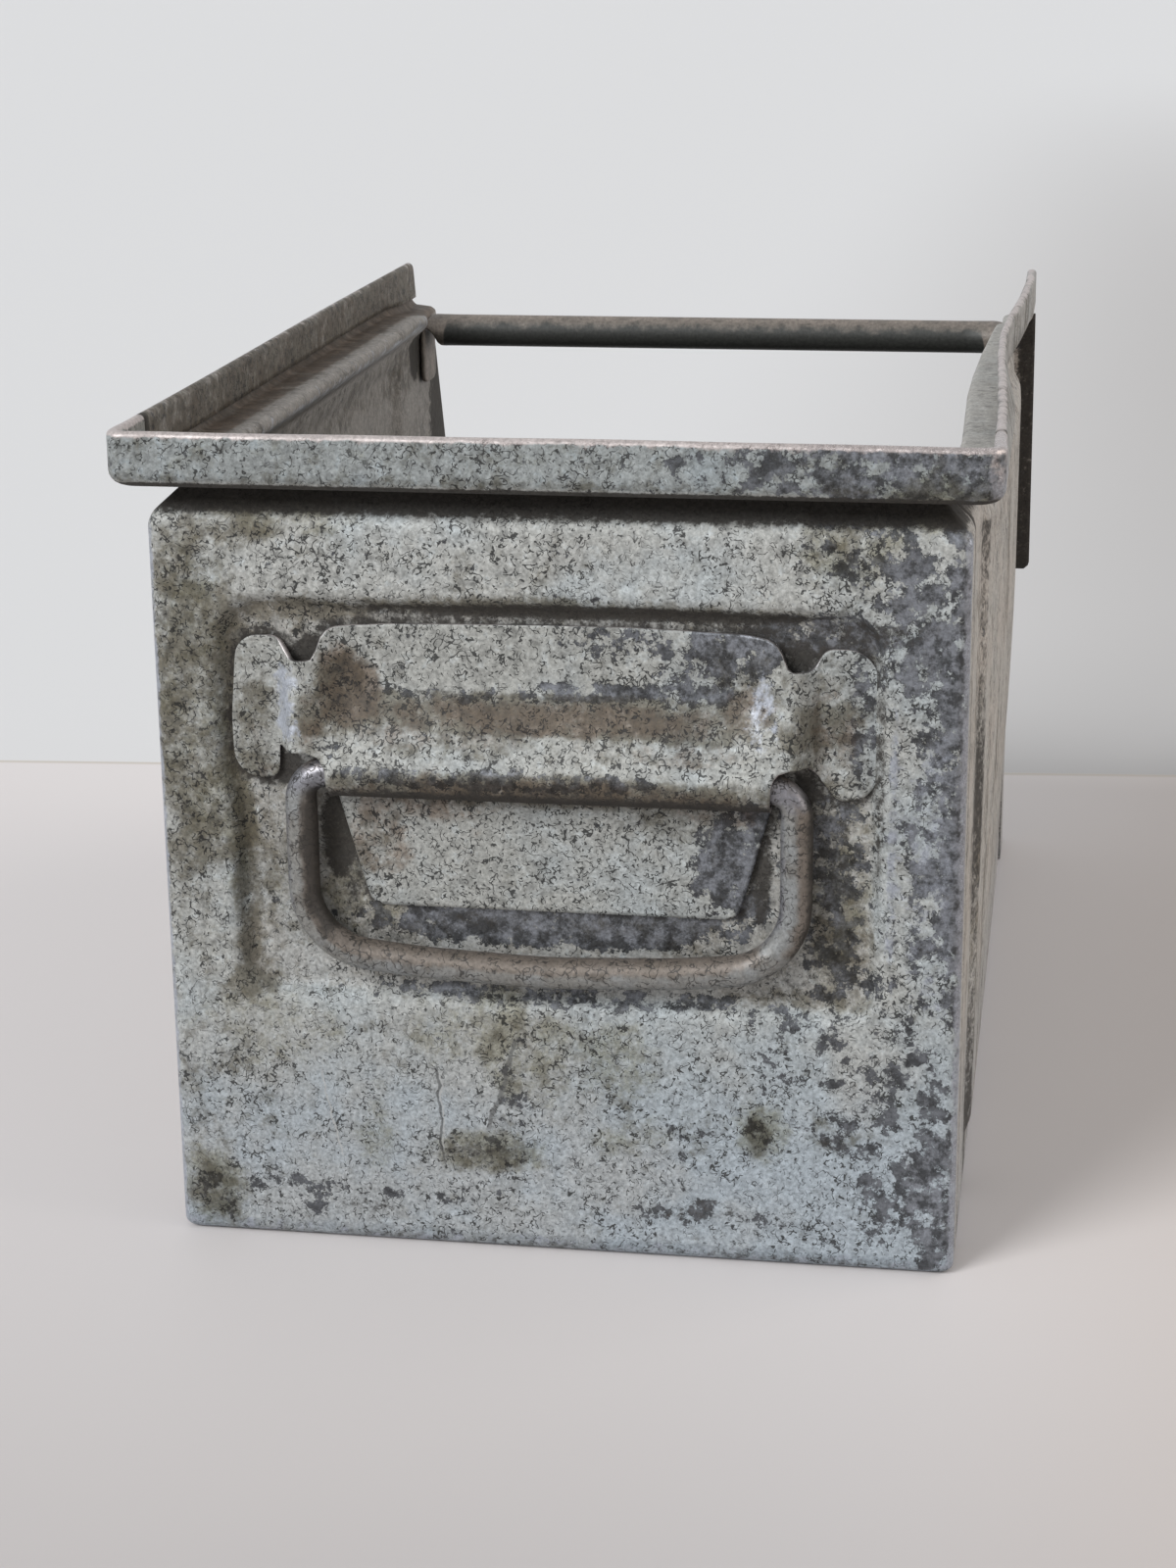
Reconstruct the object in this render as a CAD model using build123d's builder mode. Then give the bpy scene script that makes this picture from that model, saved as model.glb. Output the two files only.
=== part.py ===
"""An open-front stacking bin in sheet steel, with a drop handle on its rear wall.

Frame: X to the right as the rear wall is seen, Y from the rear wall to the open front, Z up.
The origin is on the floor under the middle of the bin. All sizes are in millimetres.
"""

import os
from math import asin, atan2, degrees, hypot, radians, sin, sqrt, tan

from build123d import *

# Overall sizes
overall_length = 350.0
overall_height = 200.0
body_width = 189.4
sheet = 1.0

# Wall section: heights above the floor, and distances out from the outer face of the body
bottom_bend_radius = 2.5
bottom_flange = 16.0
rim_height = 12.0
rim_out = 7.0
rim_bend_radius = 3.7
shoulder_radius = 6.0
shoulder_slope = 43.0
neck_depth = 8.0
neck_radius = 1.1
hem_gap = 0.8
hem_clearance = 2.1
corner_radius = 3.0
rim_corner_radius = 5.0

# Lapped joint between the rear wall and the side walls
rear_return = 16.0
lap_margin = 8.0
lap_bite = 2.0

# Side walls: their slanted front edge, turned-out flange and pressed field
top_length = 303.0
front_edge_foot = 95.0
flange_end_radius = 3.0
field_start = 50.0
field_end = 262.0
field_bottom = 12.0
field_below_top = 28.0
field_relief = 1.5
field_slope = 2.0
field_radius = 7.0

# Front wall
front_height = 93.0
front_lip_out = 3.0
front_return = 24.0

# Floor sheet and its raised field
pan_gap = 0.2
pan_field_margin = 24.0
pan_field_rise = 1.5
pan_field_slope = 3.0
pan_field_radius = 14.0

# Handle recess in the rear wall: its edges are measured from the bail's pivot
pivot_below_top = 80.1
grip_shift = -0.5
recess_width = 154.0
recess_down = 57.9
recess_up = 37.9
recess_depth = 3.5
recess_slope = 2.0
recess_radius = 7.5

# Handle plate: heights above or below the pivot, and distances from its own middle
plate_sheet = 1.2
plate_clearance = 0.2
plate_down = 33.5
tab_half = 53.5
tab_corner = 8.0
bulge_half = 52.5
bulge_up = 18.9
bulge_radius = 5.5
bulge_bend = 5.0
under_bend = 1.7
lower_tab_half = 51.5
lower_tab_foot_half = 43.5
lower_tab_corner = 3.0
notch_roof_up = 4.5
notch_radius = 3.0
upper_notch_up = 25.9
strap_half = 60.5
strap_slope = 4.5
ear_inner = 63.0
ear_down = 3.3
ear_up = 31.6
ear_radius = 6.0

# Bail
wire_diameter = 7.5
bail_half = 58.2
bail_slide = -1.0
bail_drop = 47.5
bail_bow = 3.5
bail_elbow_radius = 6.5
bail_corner_radius = 17.0
bail_stub = 20.0

# Carrying rod
rod_diameter = 10.0
rod_wall = 1.0
rod_below_top = 20.7
rod_setback = 15.5
rod_flare = 8.0
rod_tab_width = 17.0
rod_tab_drop = 16.3
rod_tab_bend = 6.0
rod_slot_width = 4.0
rod_crimp = 0.4

# Card holder on the front wall
card_width = 92.0
card_height = 44.0
card_rail = 6.0
card_foot = 5.0
card_gap = 1.2
card_sheet = 0.8
card_bottom = 24.0

# Places worked out from the sizes above
half_body = body_width / 2
ledge_height = overall_height - rim_height
field_top = overall_height - field_below_top
bail_pivot_height = overall_height - pivot_below_top
recess_top = bail_pivot_height + recess_up
recess_bottom = bail_pivot_height - recess_down
rear_face = rim_out - overall_length / 2
front_face = overall_length / 2 - front_lip_out
mid = sheet / 2
beyond = overall_length + overall_height


def front_edge(height):
    """Y of the slanted front edge of the side walls at a height."""
    top = rear_face + top_length
    return front_face + (height - front_edge_foot) * (top - front_face) / (overall_height - front_edge_foot)


def rear_point(out, height):
    """A point of the rear wall's section, by its distance out from the body, on a plane across X."""
    return rear_face - out, height


def side_point(out, height):
    """The same point of the right side wall's section, on a plane across Y."""
    return half_body + out, height


def rear_plane(depth):
    """The plane that lies a depth behind the rear wall's outer face, facing the rear."""
    return Plane(origin=(0, rear_face + depth, 0), x_dir=(1, 0, 0), z_dir=(0, -1, 0))


def cross_plane(station):
    """The plane across Y at a station, facing the rear."""
    return Plane(origin=(0, station, 0), x_dir=(1, 0, 0), z_dir=(0, -1, 0))


def wall_section(place, inner=-beyond, outer=beyond, low=-beyond, high=beyond):
    """Section of a rimmed wall: bottom flange, panel, shoulder, neck, ledge and folded rim.

    Only the stretch between the given distances and heights is kept.
    """
    bend = neck_radius + mid
    neck_tip = -neck_depth + mid + bend - bend / tan(radians(shoulder_slope) / 2)
    ledge_mid = ledge_height - mid
    shoulder = ledge_mid + (neck_tip + mid) * tan(radians(shoulder_slope))
    hem = (hem_gap + sheet) / 2
    hem_top = overall_height - hem - mid
    rim_mid = rim_out - mid
    with BuildLine() as path:
        FilletPolyline(
            place(-bottom_flange, mid),
            place(-mid, mid),
            place(-mid, shoulder),
            place(neck_tip, ledge_mid),
            place(rim_mid, ledge_mid),
            place(rim_mid, hem_top),
            radius=[bottom_bend_radius - mid, shoulder_radius - mid, bend, rim_bend_radius - mid],
        )
        ThreePointArc(
            place(rim_mid, hem_top), place(rim_mid - hem, hem_top + hem), place(rim_mid - 2 * hem, hem_top)
        )
        Line(place(rim_mid - 2 * hem, hem_top), place(rim_mid - 2 * hem, ledge_height + hem_clearance))
    trace(path.line, line_width=sheet)
    first, last = place(inner, low), place(outer, high)
    with Locations(((first[0] + last[0]) / 2, (first[1] + last[1]) / 2)):
        Rectangle(abs(first[0] - last[0]), abs(first[1] - last[1]), mode=Mode.INTERSECT)


def press_field(plane, centre, width, height, depth, slope, radius):
    """Press a rounded field into a sheet whose near face lies on the plane, away from its normal."""
    spread = sheet * tan(atan2(depth, slope) / 2)
    for mode, start, grow in ((Mode.ADD, sheet, spread), (Mode.SUBTRACT, 0, 0)):
        outlines = []
        for level, inset in ((start, -grow), (start + depth, slope - grow)):
            with BuildSketch(plane.offset(-level)) as outline:
                with Locations(centre):
                    RectangleRounded(width - 2 * inset, height - 2 * inset, max(radius - inset, sheet))
            outlines.append(outline.sketch)
        loft(outlines, mode=mode)


# Corner bend and lapped return of the rear wall, right side
straight = half_body - corner_radius
rim_straight = half_body + rim_out - rim_corner_radius
corner_station = rear_face + corner_radius
rim_station = rear_face - rim_out + rim_corner_radius
return_end = rear_face + rear_return
ledge_under = ledge_height - sheet

with BuildPart() as right_return:
    with BuildSketch(cross_plane(corner_station)):
        wall_section(side_point)
    extrude(amount=corner_station - return_end)
    split(bisect_by=Plane(origin=(straight, corner_station, 0), z_dir=(1, 1, 0)), keep=Keep.TOP)
    with BuildSketch(cross_plane(rim_station)):
        wall_section(side_point, inner=-corner_radius, low=ledge_under)
    extrude(amount=rim_station - return_end)
    with BuildSketch(cross_plane(corner_station)):
        wall_section(side_point, inner=-corner_radius, high=ledge_under)
    revolve(axis=Axis((straight, corner_station, 0), (0, 0, -1)), revolution_arc=90)
    with BuildSketch(cross_plane(rim_station)):
        wall_section(side_point, inner=rim_out - rim_corner_radius, low=ledge_under)
    revolve(axis=Axis((rim_straight, rim_station, 0), (0, 0, -1)), revolution_arc=90)

# Rear wall
with BuildPart() as rear_wall:
    with BuildSketch(Plane.YZ.offset(-straight)):
        wall_section(rear_point)
    extrude(amount=2 * straight)
    for side in (-1, 1):
        mitre = Plane(origin=(side * straight, corner_station, 0), z_dir=(side, 1, 0))
        split(bisect_by=mitre, keep=Keep.BOTTOM)
    with BuildSketch(Plane.YZ.offset(-rim_straight)):
        wall_section(rear_point, inner=-corner_radius, low=ledge_under)
    extrude(amount=2 * rim_straight)
    add(right_return.part)
    add(mirror(right_return.part, about=Plane.YZ, mode=Mode.PRIVATE))
    press_field(
        rear_plane(0), (grip_shift, (recess_bottom + recess_top) / 2),
        recess_width, recess_top - recess_bottom, recess_depth, recess_slope, recess_radius,
    )

# Right side wall
side_front = front_face - corner_radius
flange_rise = overall_height - front_edge_foot
flange_run = front_edge(overall_height) - front_face
flange_length = hypot(flange_rise, flange_run)
flange_plane = Plane(
    origin=(half_body, front_face, front_edge_foot), x_dir=(1, 0, 0), z_dir=(0, -flange_rise, flange_run)
)

with BuildPart() as right_side_wall:
    with BuildSketch(cross_plane(return_end)):
        wall_section(side_point)
    extrude(amount=return_end - front_face)
    # Slanted front edge above the front wall, straight end behind it
    with BuildSketch(Plane.YZ.offset(half_body - bottom_flange)):
        with BuildLine():
            Polyline(
                (side_front, -sheet), (side_front, front_edge_foot), (front_face, front_edge_foot),
                (front_edge(overall_height + sheet), overall_height + sheet),
                (front_face + sheet, overall_height + sheet), (front_face + sheet, -sheet),
                close=True,
            )
        make_face()
    extrude(amount=bottom_flange + 2 * rim_out, mode=Mode.SUBTRACT)
    # Flange turned out along the slanted edge
    with BuildSketch(flange_plane):
        with BuildLine():
            FilletPolyline(
                (-sheet, sheet), (rim_out, sheet),
                (rim_out, flange_length - sheet), (-sheet, flange_length - sheet),
                close=True, radius=[0, flange_end_radius, flange_end_radius, 0],
            )
        make_face()
    extrude(amount=sheet)
    # Tongue that laps inside the rear wall's return
    with BuildSketch(Plane.YZ.offset(half_body - 2 * sheet)):
        with BuildLine():
            Polyline(
                (corner_station + mid, lap_margin), (return_end + lap_bite, lap_margin),
                (return_end + lap_bite, field_top), (corner_station + mid, field_top),
                close=True,
            )
        make_face()
    extrude(amount=sheet)
    press_field(
        Plane(origin=(half_body - sheet, 0, 0), x_dir=(0, -1, 0), z_dir=(-1, 0, 0)),
        (-rear_face - (field_start + field_end) / 2, (field_bottom + field_top) / 2),
        field_end - field_start, field_top - field_bottom, field_relief, field_slope, field_radius,
    )

# Left side wall, the other hand of the right one
with BuildPart() as left_side_wall:
    add(mirror(right_side_wall.part, about=Plane.YZ, mode=Mode.PRIVATE))

# Front wall: bottom flange, panel and rolled lip, with returns that lap outside the side walls
lip_radius = (front_lip_out + sheet) / 2
lip_mid = lip_radius - mid
lip_centre = (front_face - mid + lip_mid, front_height - lip_radius)
front_flange_half = half_body - bottom_flange - mid
front_straight = half_body + sheet - corner_radius

with BuildPart() as front_wall:
    with BuildSketch(Plane.YZ.offset(-front_straight)):
        with BuildLine():
            Line((front_face - mid, 0), (front_face - mid, lip_centre[1]))
            CenterArc(lip_centre, lip_mid, 180, -270)
        trace(line_width=sheet)
    extrude(amount=2 * front_straight)
    with BuildSketch(Plane.YZ.offset(-front_flange_half)):
        Rectangle(beyond, 2 * bottom_bend_radius)
    extrude(amount=2 * front_flange_half, mode=Mode.SUBTRACT)
    with BuildSketch(Plane.YZ.offset(-front_flange_half)):
        with BuildLine():
            FilletPolyline(
                (front_face - bottom_flange, mid), (front_face - mid, mid), (front_face - mid, bottom_bend_radius),
                radius=[bottom_bend_radius - mid],
            )
        trace(line_width=sheet)
    extrude(amount=2 * front_flange_half)
    for side in (-1, 1):
        with BuildSketch(Plane.XY):
            with BuildLine():
                FilletPolyline(
                    (side * (front_straight - mid), front_face - mid),
                    (side * (half_body + mid), front_face - mid),
                    (side * (half_body + mid), front_face - front_return),
                    radius=[corner_radius - mid],
                )
            trace(line_width=sheet)
        extrude(amount=lip_centre[1])

# Floor sheet on the bottom flanges
pan_half = half_body - bottom_bend_radius - pan_gap
pan_rear = rear_face + bottom_bend_radius + pan_gap
pan_front = front_face - bottom_bend_radius - pan_gap

with BuildPart() as bottom_pan:
    with BuildSketch(Plane.XY.offset(sheet)):
        with Locations((0, (pan_rear + pan_front) / 2)):
            Rectangle(2 * pan_half, pan_front - pan_rear)
    extrude(amount=sheet)
    press_field(
        Plane(origin=(0, 0, sheet), x_dir=(1, 0, 0), z_dir=(0, 0, -1)),
        (0, -(pan_rear + pan_front) / 2),
        2 * (pan_half - pan_field_margin), pan_front - pan_rear - 2 * pan_field_margin,
        pan_field_rise, pan_field_slope, pan_field_radius,
    )

# Handle plate: flat tabs and ears on the recess floor, half-round bulge over the bail's stubs
plate_top = recess_top - recess_slope - plate_clearance
plate_bottom = bail_pivot_height - plate_down
bulge_start = bail_pivot_height + bulge_up
notch_roof = bail_pivot_height + notch_roof_up
upper_notch_floor = bail_pivot_height + upper_notch_up
ear_top = bail_pivot_height + ear_up
ear_bottom = bail_pivot_height - ear_down
ear_outer = recess_width / 2 - recess_slope - plate_clearance
pivot_out = rim_out - bulge_radius
plate_out = -recess_depth + plate_sheet / 2
bulge_mid = bulge_radius - plate_sheet / 2
run, drop = pivot_out - plate_out, -bulge_up
slope_angle = atan2(drop, run) + asin(bulge_mid / hypot(run, drop))
under_height = bail_pivot_height - bulge_mid
nose_tip = plate_out + (under_height - bulge_start) / tan(slope_angle)
slope_at_roof = plate_out + (notch_roof - bulge_start) / tan(slope_angle)

plate_outline = [
    (tab_half, plate_top, tab_corner),
    (tab_half, upper_notch_floor, notch_radius),
    (strap_half + 1, upper_notch_floor, notch_radius),
    (ear_inner, ear_top, notch_radius),
    (ear_outer, ear_top, ear_radius),
    (ear_outer, ear_bottom, ear_radius),
    (ear_inner, ear_bottom, notch_radius),
    (ear_inner, notch_roof, notch_radius / 2),
    (bulge_half, notch_roof, notch_radius),
    (lower_tab_half, under_height, 0),
    (lower_tab_foot_half, plate_bottom, lower_tab_corner),
]

with BuildPart() as handle_plate:
    with BuildSketch(Plane.YZ.offset(grip_shift - strap_half)):
        with BuildLine():
            FilletPolyline(
                rear_point(plate_out, plate_top), rear_point(plate_out, bulge_start),
                rear_point(nose_tip, under_height), rear_point(plate_out, under_height),
                rear_point(plate_out, plate_bottom),
                radius=[bulge_bend, bulge_mid, under_bend],
            )
        trace(line_width=plate_sheet)
    extrude(amount=2 * strap_half)
    face_out = plate_out + plate_sheet / 2
    for side in (-1, 1):
        # Flat ear
        with BuildSketch(rear_plane(recess_depth)):
            with Locations((grip_shift + side * (strap_half + ear_outer) / 2, (ear_bottom + ear_top) / 2)):
                Rectangle(ear_outer - strap_half, ear_top - ear_bottom)
        extrude(amount=plate_sheet)
        # Sloping end of the bulge, from the strap down to the ear
        near, far = grip_shift + side * strap_half, grip_shift + side * (strap_half + strap_slope)
        crest = slope_at_roof + plate_sheet / 2 / sin(-slope_angle)
        corners = [
            Vector(near, rear_face - face_out, bulge_start),
            Vector(near, rear_face - crest, notch_roof),
            Vector(far, rear_face - face_out, notch_roof),
        ]
        end_face = Face(Wire.make_polygon(corners, close=True))
        inward = end_face.normal_at() * (1 if end_face.normal_at().Y > 0 else -1)
        extrude(end_face, amount=plate_sheet, dir=inward)
    # Everything is trimmed to the stamped outline
    with BuildSketch(rear_plane(recess_depth)):
        for side in (-1, 1):
            corners = [(grip_shift, plate_top)]
            corners += [(grip_shift + side * x, z) for x, z, _ in plate_outline]
            corners += [(grip_shift, plate_bottom)]
            with BuildLine():
                FilletPolyline(*corners, close=True, radius=[0] + [r for _, _, r in plate_outline] + [0])
            make_face()
    extrude(amount=recess_depth + rim_out, mode=Mode.INTERSECT)

# Bail: a bent wire that hangs from two stubs inside the bulge
pivot_station = rear_face - pivot_out
bail_middle = grip_shift + bail_slide
bow_radius = (bail_half**2 + bail_bow**2) / (2 * bail_bow)
bow_centre = bail_pivot_height - bail_drop + bow_radius
corner_x = bail_half - bail_corner_radius
corner_z = bow_centre - sqrt((bow_radius - bail_corner_radius) ** 2 - corner_x**2)
corner_turn = degrees(atan2(bow_centre - corner_z, corner_x))

with BuildPart() as bail_handle:
    with BuildLine(Plane(origin=(bail_middle, pivot_station, 0), x_dir=(1, 0, 0), z_dir=(0, -1, 0))):
        CenterArc((0, bow_centre), bow_radius, corner_turn - 180, 180 - 2 * corner_turn)
        for side, start, turn in ((-1, 180, corner_turn), (1, 0, -corner_turn)):
            CenterArc((side * corner_x, corner_z), bail_corner_radius, start, turn)
            elbow_x = side * (bail_half - bail_elbow_radius)
            elbow_z = bail_pivot_height - bail_elbow_radius
            Line((side * bail_half, corner_z), (side * bail_half, elbow_z))
            CenterArc((elbow_x, elbow_z), bail_elbow_radius, start, side * 90)
            Line((elbow_x, bail_pivot_height), (elbow_x - side * bail_stub, bail_pivot_height))
    stub_end = bail_middle - bail_half + bail_elbow_radius + bail_stub
    with BuildSketch(Plane(origin=(stub_end, pivot_station, bail_pivot_height), z_dir=(1, 0, 0))):
        Circle(wire_diameter / 2)
    sweep()

# Carrying rod: a tube whose flattened ends turn down against the side walls
rod_height = overall_height - rod_below_top
rod_tab_foot = rod_height - rod_tab_drop
rod_station = front_edge(rod_height) - rod_setback
tab_thickness = 2 * rod_wall
tab_mid = half_body - sheet - tab_thickness / 2
flare_end = tab_mid - rod_tab_bend
flare_start = flare_end - rod_flare

with BuildPart() as carrying_rod:
    with BuildSketch(Plane.YZ.offset(-flare_start)):
        with Locations((rod_station, rod_height)):
            Circle(rod_diameter / 2)
            Circle(rod_diameter / 2 - rod_wall, mode=Mode.SUBTRACT)
    extrude(amount=2 * flare_start)
    for side in (-1, 1):
        with BuildSketch(Plane.YZ.offset(side * flare_start)):
            with Locations((rod_station, rod_height)):
                Circle(rod_diameter / 2)
        with BuildSketch(Plane.YZ.offset(side * flare_end)):
            with Locations((rod_station, rod_height)):
                Ellipse(rod_tab_width / 2 - rod_crimp, tab_thickness / 2 + rod_crimp)
        loft()
        with BuildSketch(cross_plane(rod_station + rod_tab_width / 2)):
            with BuildLine():
                FilletPolyline(
                    (side * (flare_end - rod_wall), rod_height), (side * tab_mid, rod_height),
                    (side * tab_mid, rod_tab_foot),
                    radius=[rod_tab_bend],
                )
            trace(line_width=tab_thickness)
        extrude(amount=rod_tab_width)
        # Slot under the tube where its wall folds in
        with BuildSketch(Plane.XY.offset(rod_height - rod_diameter)):
            with Locations((side * (flare_start - 1.2 * rod_slot_width), rod_station)):
                SlotOverall(2 * rod_slot_width, rod_slot_width)
        extrude(amount=rod_diameter, mode=Mode.SUBTRACT)

# Card holder: a folded frame, open at its top, on the front wall
card_centre = card_bottom + card_height / 2

with BuildPart() as card_holder:
    for level, depth, reach, opening in (
        (0, card_sheet, card_foot, 0),
        (0, card_gap + card_sheet, card_sheet, 0),
        (card_gap, card_sheet, card_sheet, card_rail),
    ):
        with BuildSketch(Plane(origin=(0, front_face + level, 0), x_dir=(-1, 0, 0), z_dir=(0, 1, 0))):
            with Locations((0, card_centre - reach / 2)):
                Rectangle(card_width + 2 * reach, card_height + reach)
            with Locations((0, card_centre + opening / 2)):
                Rectangle(card_width - 2 * opening, card_height - opening, mode=Mode.SUBTRACT)
        extrude(amount=depth)

os.makedirs("parts", exist_ok=True)
for name, piece in (
    ("rear_wall", rear_wall),
    ("left_side_wall", left_side_wall),
    ("right_side_wall", right_side_wall),
    ("front_wall", front_wall),
    ("bottom_pan", bottom_pan),
    ("handle_plate", handle_plate),
    ("bail_handle", bail_handle),
    ("carrying_rod", carrying_rod),
    ("card_holder", card_holder),
):
    piece.part.label = name
    export_step(piece.part, f"parts/{name}.step")
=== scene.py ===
"""An old open-front stacking bin in galvanised sheet steel, with a wire drop handle on its rear wall.

Lengths are in millimetres, as on a workshop drawing, and grid_mesh turns them to metres.
X is to the right as the rear wall is seen, Y runs from the rear wall to the open front, Z is up.
"""

import bpy
import numpy as np
from mathutils import Matrix, Vector


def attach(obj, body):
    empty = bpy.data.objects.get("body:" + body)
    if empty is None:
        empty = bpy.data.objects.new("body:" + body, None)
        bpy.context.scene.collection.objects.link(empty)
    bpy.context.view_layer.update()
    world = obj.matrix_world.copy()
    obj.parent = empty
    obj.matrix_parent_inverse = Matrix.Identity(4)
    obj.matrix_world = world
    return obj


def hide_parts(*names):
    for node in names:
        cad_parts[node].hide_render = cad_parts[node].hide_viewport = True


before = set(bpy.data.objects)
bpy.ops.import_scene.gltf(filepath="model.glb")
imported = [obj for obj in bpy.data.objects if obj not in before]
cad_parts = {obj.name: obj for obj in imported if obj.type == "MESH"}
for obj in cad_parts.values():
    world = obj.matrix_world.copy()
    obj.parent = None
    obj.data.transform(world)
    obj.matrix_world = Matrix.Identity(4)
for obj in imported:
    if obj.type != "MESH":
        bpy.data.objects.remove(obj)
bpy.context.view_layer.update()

# Sizes of the sheet-metal work
HALF = 94.7  # from the middle to the outer face of a side wall
REAR = -168.0  # outer face of the rear wall
FRONT = 172.0  # outer face of the front wall
TOP = 200.0  # top of the rim
SHEET = 1.0
MID = SHEET / 2
LEDGE = 187.5  # middle of the ledge's sheet
RIM_OUT = 7.0  # from a wall's outer face to the rim's
HEM = 0.9  # middle radius of the folded rim
RETURN_END = -152.0  # where the rear wall's returns end on the side walls
SLANT_FOOT = 95.0  # height at which the side walls' slanted front edge starts
SLANT_TOP_Y = 135.0  # where that edge would reach the rim's top
SIDE_END = 169.0  # where the side walls end below the slant
NECK_FOOT = 170.0  # above it a wall's section is neck, ledge and rim
FLANGE_BEND = 2.0  # radius of the bend at the slanted edge
ROUND_END = 3.0  # radius of the sheets' rounded corners

# Pressed areas, each as its middle, its size and the radius of its corners
SIDE_FIELD = ((-12.0, 94.0), (212.0, 165.0), 8.0)
RECESS = ((-0.6, 111.9), (154.2, 99.6), 10.0)
PAN_FIELD = ((0.0, 2.0), (136.0, 286.6), 14.0)

# Stations along Y and what holds at each: the share of the neck's full depth, and the right rim's shifts
RIGHT_NECK = ([-152.0, -95.0, -27.0, 4.0, 42.0, 126.0], [0.96, 0.71, 0.93, 0.91, 0.79, 0.33])
LEFT_NECK = ([70.0, 108.0, 126.0], [1.0, 0.72, 0.22])
RIM_CROWN = (
    [-168, -152, -116, -87, -56, -40, -5, 13, 32, 53, 74, 107],
    [-0.4, -0.6, -1.5, -2.5, -3.7, -4.4, -5.0, -4.6, -3.8, -2.5, -1.2, -0.1],
)
RIM_FOOT = ([-168, -85, -60, -40, -20, 5, 30, 54, 83, 108], [0, 0, -0.5, -2.0, -3.9, -5.0, -4.0, -2.5, -1.1, -0.1])

# Handle, measured from the plate's own middle and the bail's pivot
GRIP_X = -0.5
PIVOT_Y = REAR - 1.5
PIVOT_Z = 119.9
PLATE_SHEET = 1.2
PLATE_OUT = -2.9  # middle of the flat plate, outwards from the rear wall's face
STAND = 4.4  # from the flat plate's middle out to the pivot
FOLD = 18.9  # from the pivot up to the fold between the flat plate and its slope
TAB_FOOT = PIVOT_Z - 33.5
BAIL_X = -1.5
WIRE = 3.75  # radius


# ---------------------------------------------------------------- shapes on grids


def smooth(value, low=0.0, high=1.0):
    """0 below low, 1 above high, and 3t^2 - 2t^3 between them."""
    t = np.clip((value - low) / (high - low), 0.0, 1.0)
    return t * t * (3.0 - 2.0 * t)


def inside(a, b, centre, size, radius):
    """How deep a point lies inside a rounded rectangle: the rounded-box distance, negative outside."""
    qa = np.abs(a - centre[0]) - size[0] / 2 + radius
    qb = np.abs(b - centre[1]) - size[1] / 2 + radius
    return radius - np.hypot(np.maximum(qa, 0), np.maximum(qb, 0)) - np.minimum(np.maximum(qa, qb), 0)


def scooped(depth, radius):
    """How far in a rounded corner lies at a depth from the sheet's end: r - sqrt(r^2 - (r - depth)^2)."""
    return radius - np.sqrt(np.maximum(radius**2 - np.maximum(radius - depth, 0) ** 2, 0))


def rounded_line(points, radii, step, turns=7):
    """Points along a polyline whose inner corners are arcs of the given radii.

    At a corner that turns by a, the arc of radius r starts r * tan(a / 2) before the corner,
    and its centre lies r / cos(a / 2) away along the corner's bisector.
    """
    points = np.asarray(points, float)
    pieces = []
    here = points[0]
    for before, corner, after, radius in zip(points, points[1:], points[2:], radii):
        u = (before - corner) / np.linalg.norm(before - corner)
        v = (after - corner) / np.linalg.norm(after - corner)
        half_turn = (np.pi - np.arccos(np.clip(u @ v, -1, 1))) / 2
        start, end = corner + u * radius * np.tan(half_turn), corner + v * radius * np.tan(half_turn)
        centre = corner + (u + v) / np.linalg.norm(u + v) * radius / np.cos(half_turn)
        first = np.arctan2(*(start - centre)[::-1])
        sweep = np.arctan2(*(end - centre)[::-1]) - first
        sweep = (sweep + np.pi) % (2 * np.pi) - np.pi
        angle = first + sweep * np.linspace(0, 1, turns)
        count = max(int(np.linalg.norm(start - here) / step), 1)
        pieces.append(here + (start - here) * np.linspace(0, 1, count + 1)[:-1, None])
        pieces.append(centre + radius * np.stack([np.cos(angle), np.sin(angle)], 1)[:-1])
        here = end
    count = max(int(np.linalg.norm(points[-1] - here) / step), 1)
    pieces.append(here + (points[-1] - here) * np.linspace(0, 1, count + 1)[:, None])
    return np.concatenate(pieces)


def grid_faces(rows, columns, closed=False, start=0):
    """Quads that join a grid of vertices numbered row by row, its last column joined to the first if closed."""
    i, j = np.meshgrid(np.arange(rows - 1), np.arange(columns if closed else columns - 1), indexing="ij")
    k = (j + 1) % columns
    quads = np.stack([i * columns + j, i * columns + k, (i + 1) * columns + k, (i + 1) * columns + j], -1)
    return quads.reshape(-1, 4) + start


def grid_mesh(name, grids, flip=False, closed=False, weld=False):
    """A mesh of one or more grids of points, each of shape (rows, columns, 3) in millimetres.

    Neighbouring points are joined into quads. Grids that share an edge are welded along it.
    """
    points, quads, start = [], [], 0
    for grid in grids:
        points.append(grid.reshape(-1, 3) / 1000)
        quads.append(grid_faces(grid.shape[0], grid.shape[1], closed, start))
        start += len(points[-1])
    points, quads = np.concatenate(points), np.concatenate(quads)
    if weld:
        _, first, back = np.unique(np.round(points, 7), axis=0, return_index=True, return_inverse=True)
        points, quads = points[first], back.reshape(-1)[quads]
    if flip:
        quads = quads[:, ::-1]
    mesh = bpy.data.meshes.new(name)
    mesh.from_pydata(points, [], quads.tolist())
    mesh.validate()
    mesh.update()
    mesh.polygons.foreach_set("use_smooth", np.ones(len(mesh.polygons), bool))
    piece = bpy.data.objects.new(name, mesh)
    bpy.context.collection.objects.link(piece)
    return piece


def thicken(piece, thickness):
    """Give a sheet its thickness, half to each side. The far side and the cut edges take the next two finishes."""
    solid = piece.modifiers.new("sheet", "SOLIDIFY")
    solid.thickness = thickness / 1000
    solid.offset = 0.0
    solid.use_even_offset = True
    solid.material_offset, solid.material_offset_rim = 1, 2
    return piece


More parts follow.
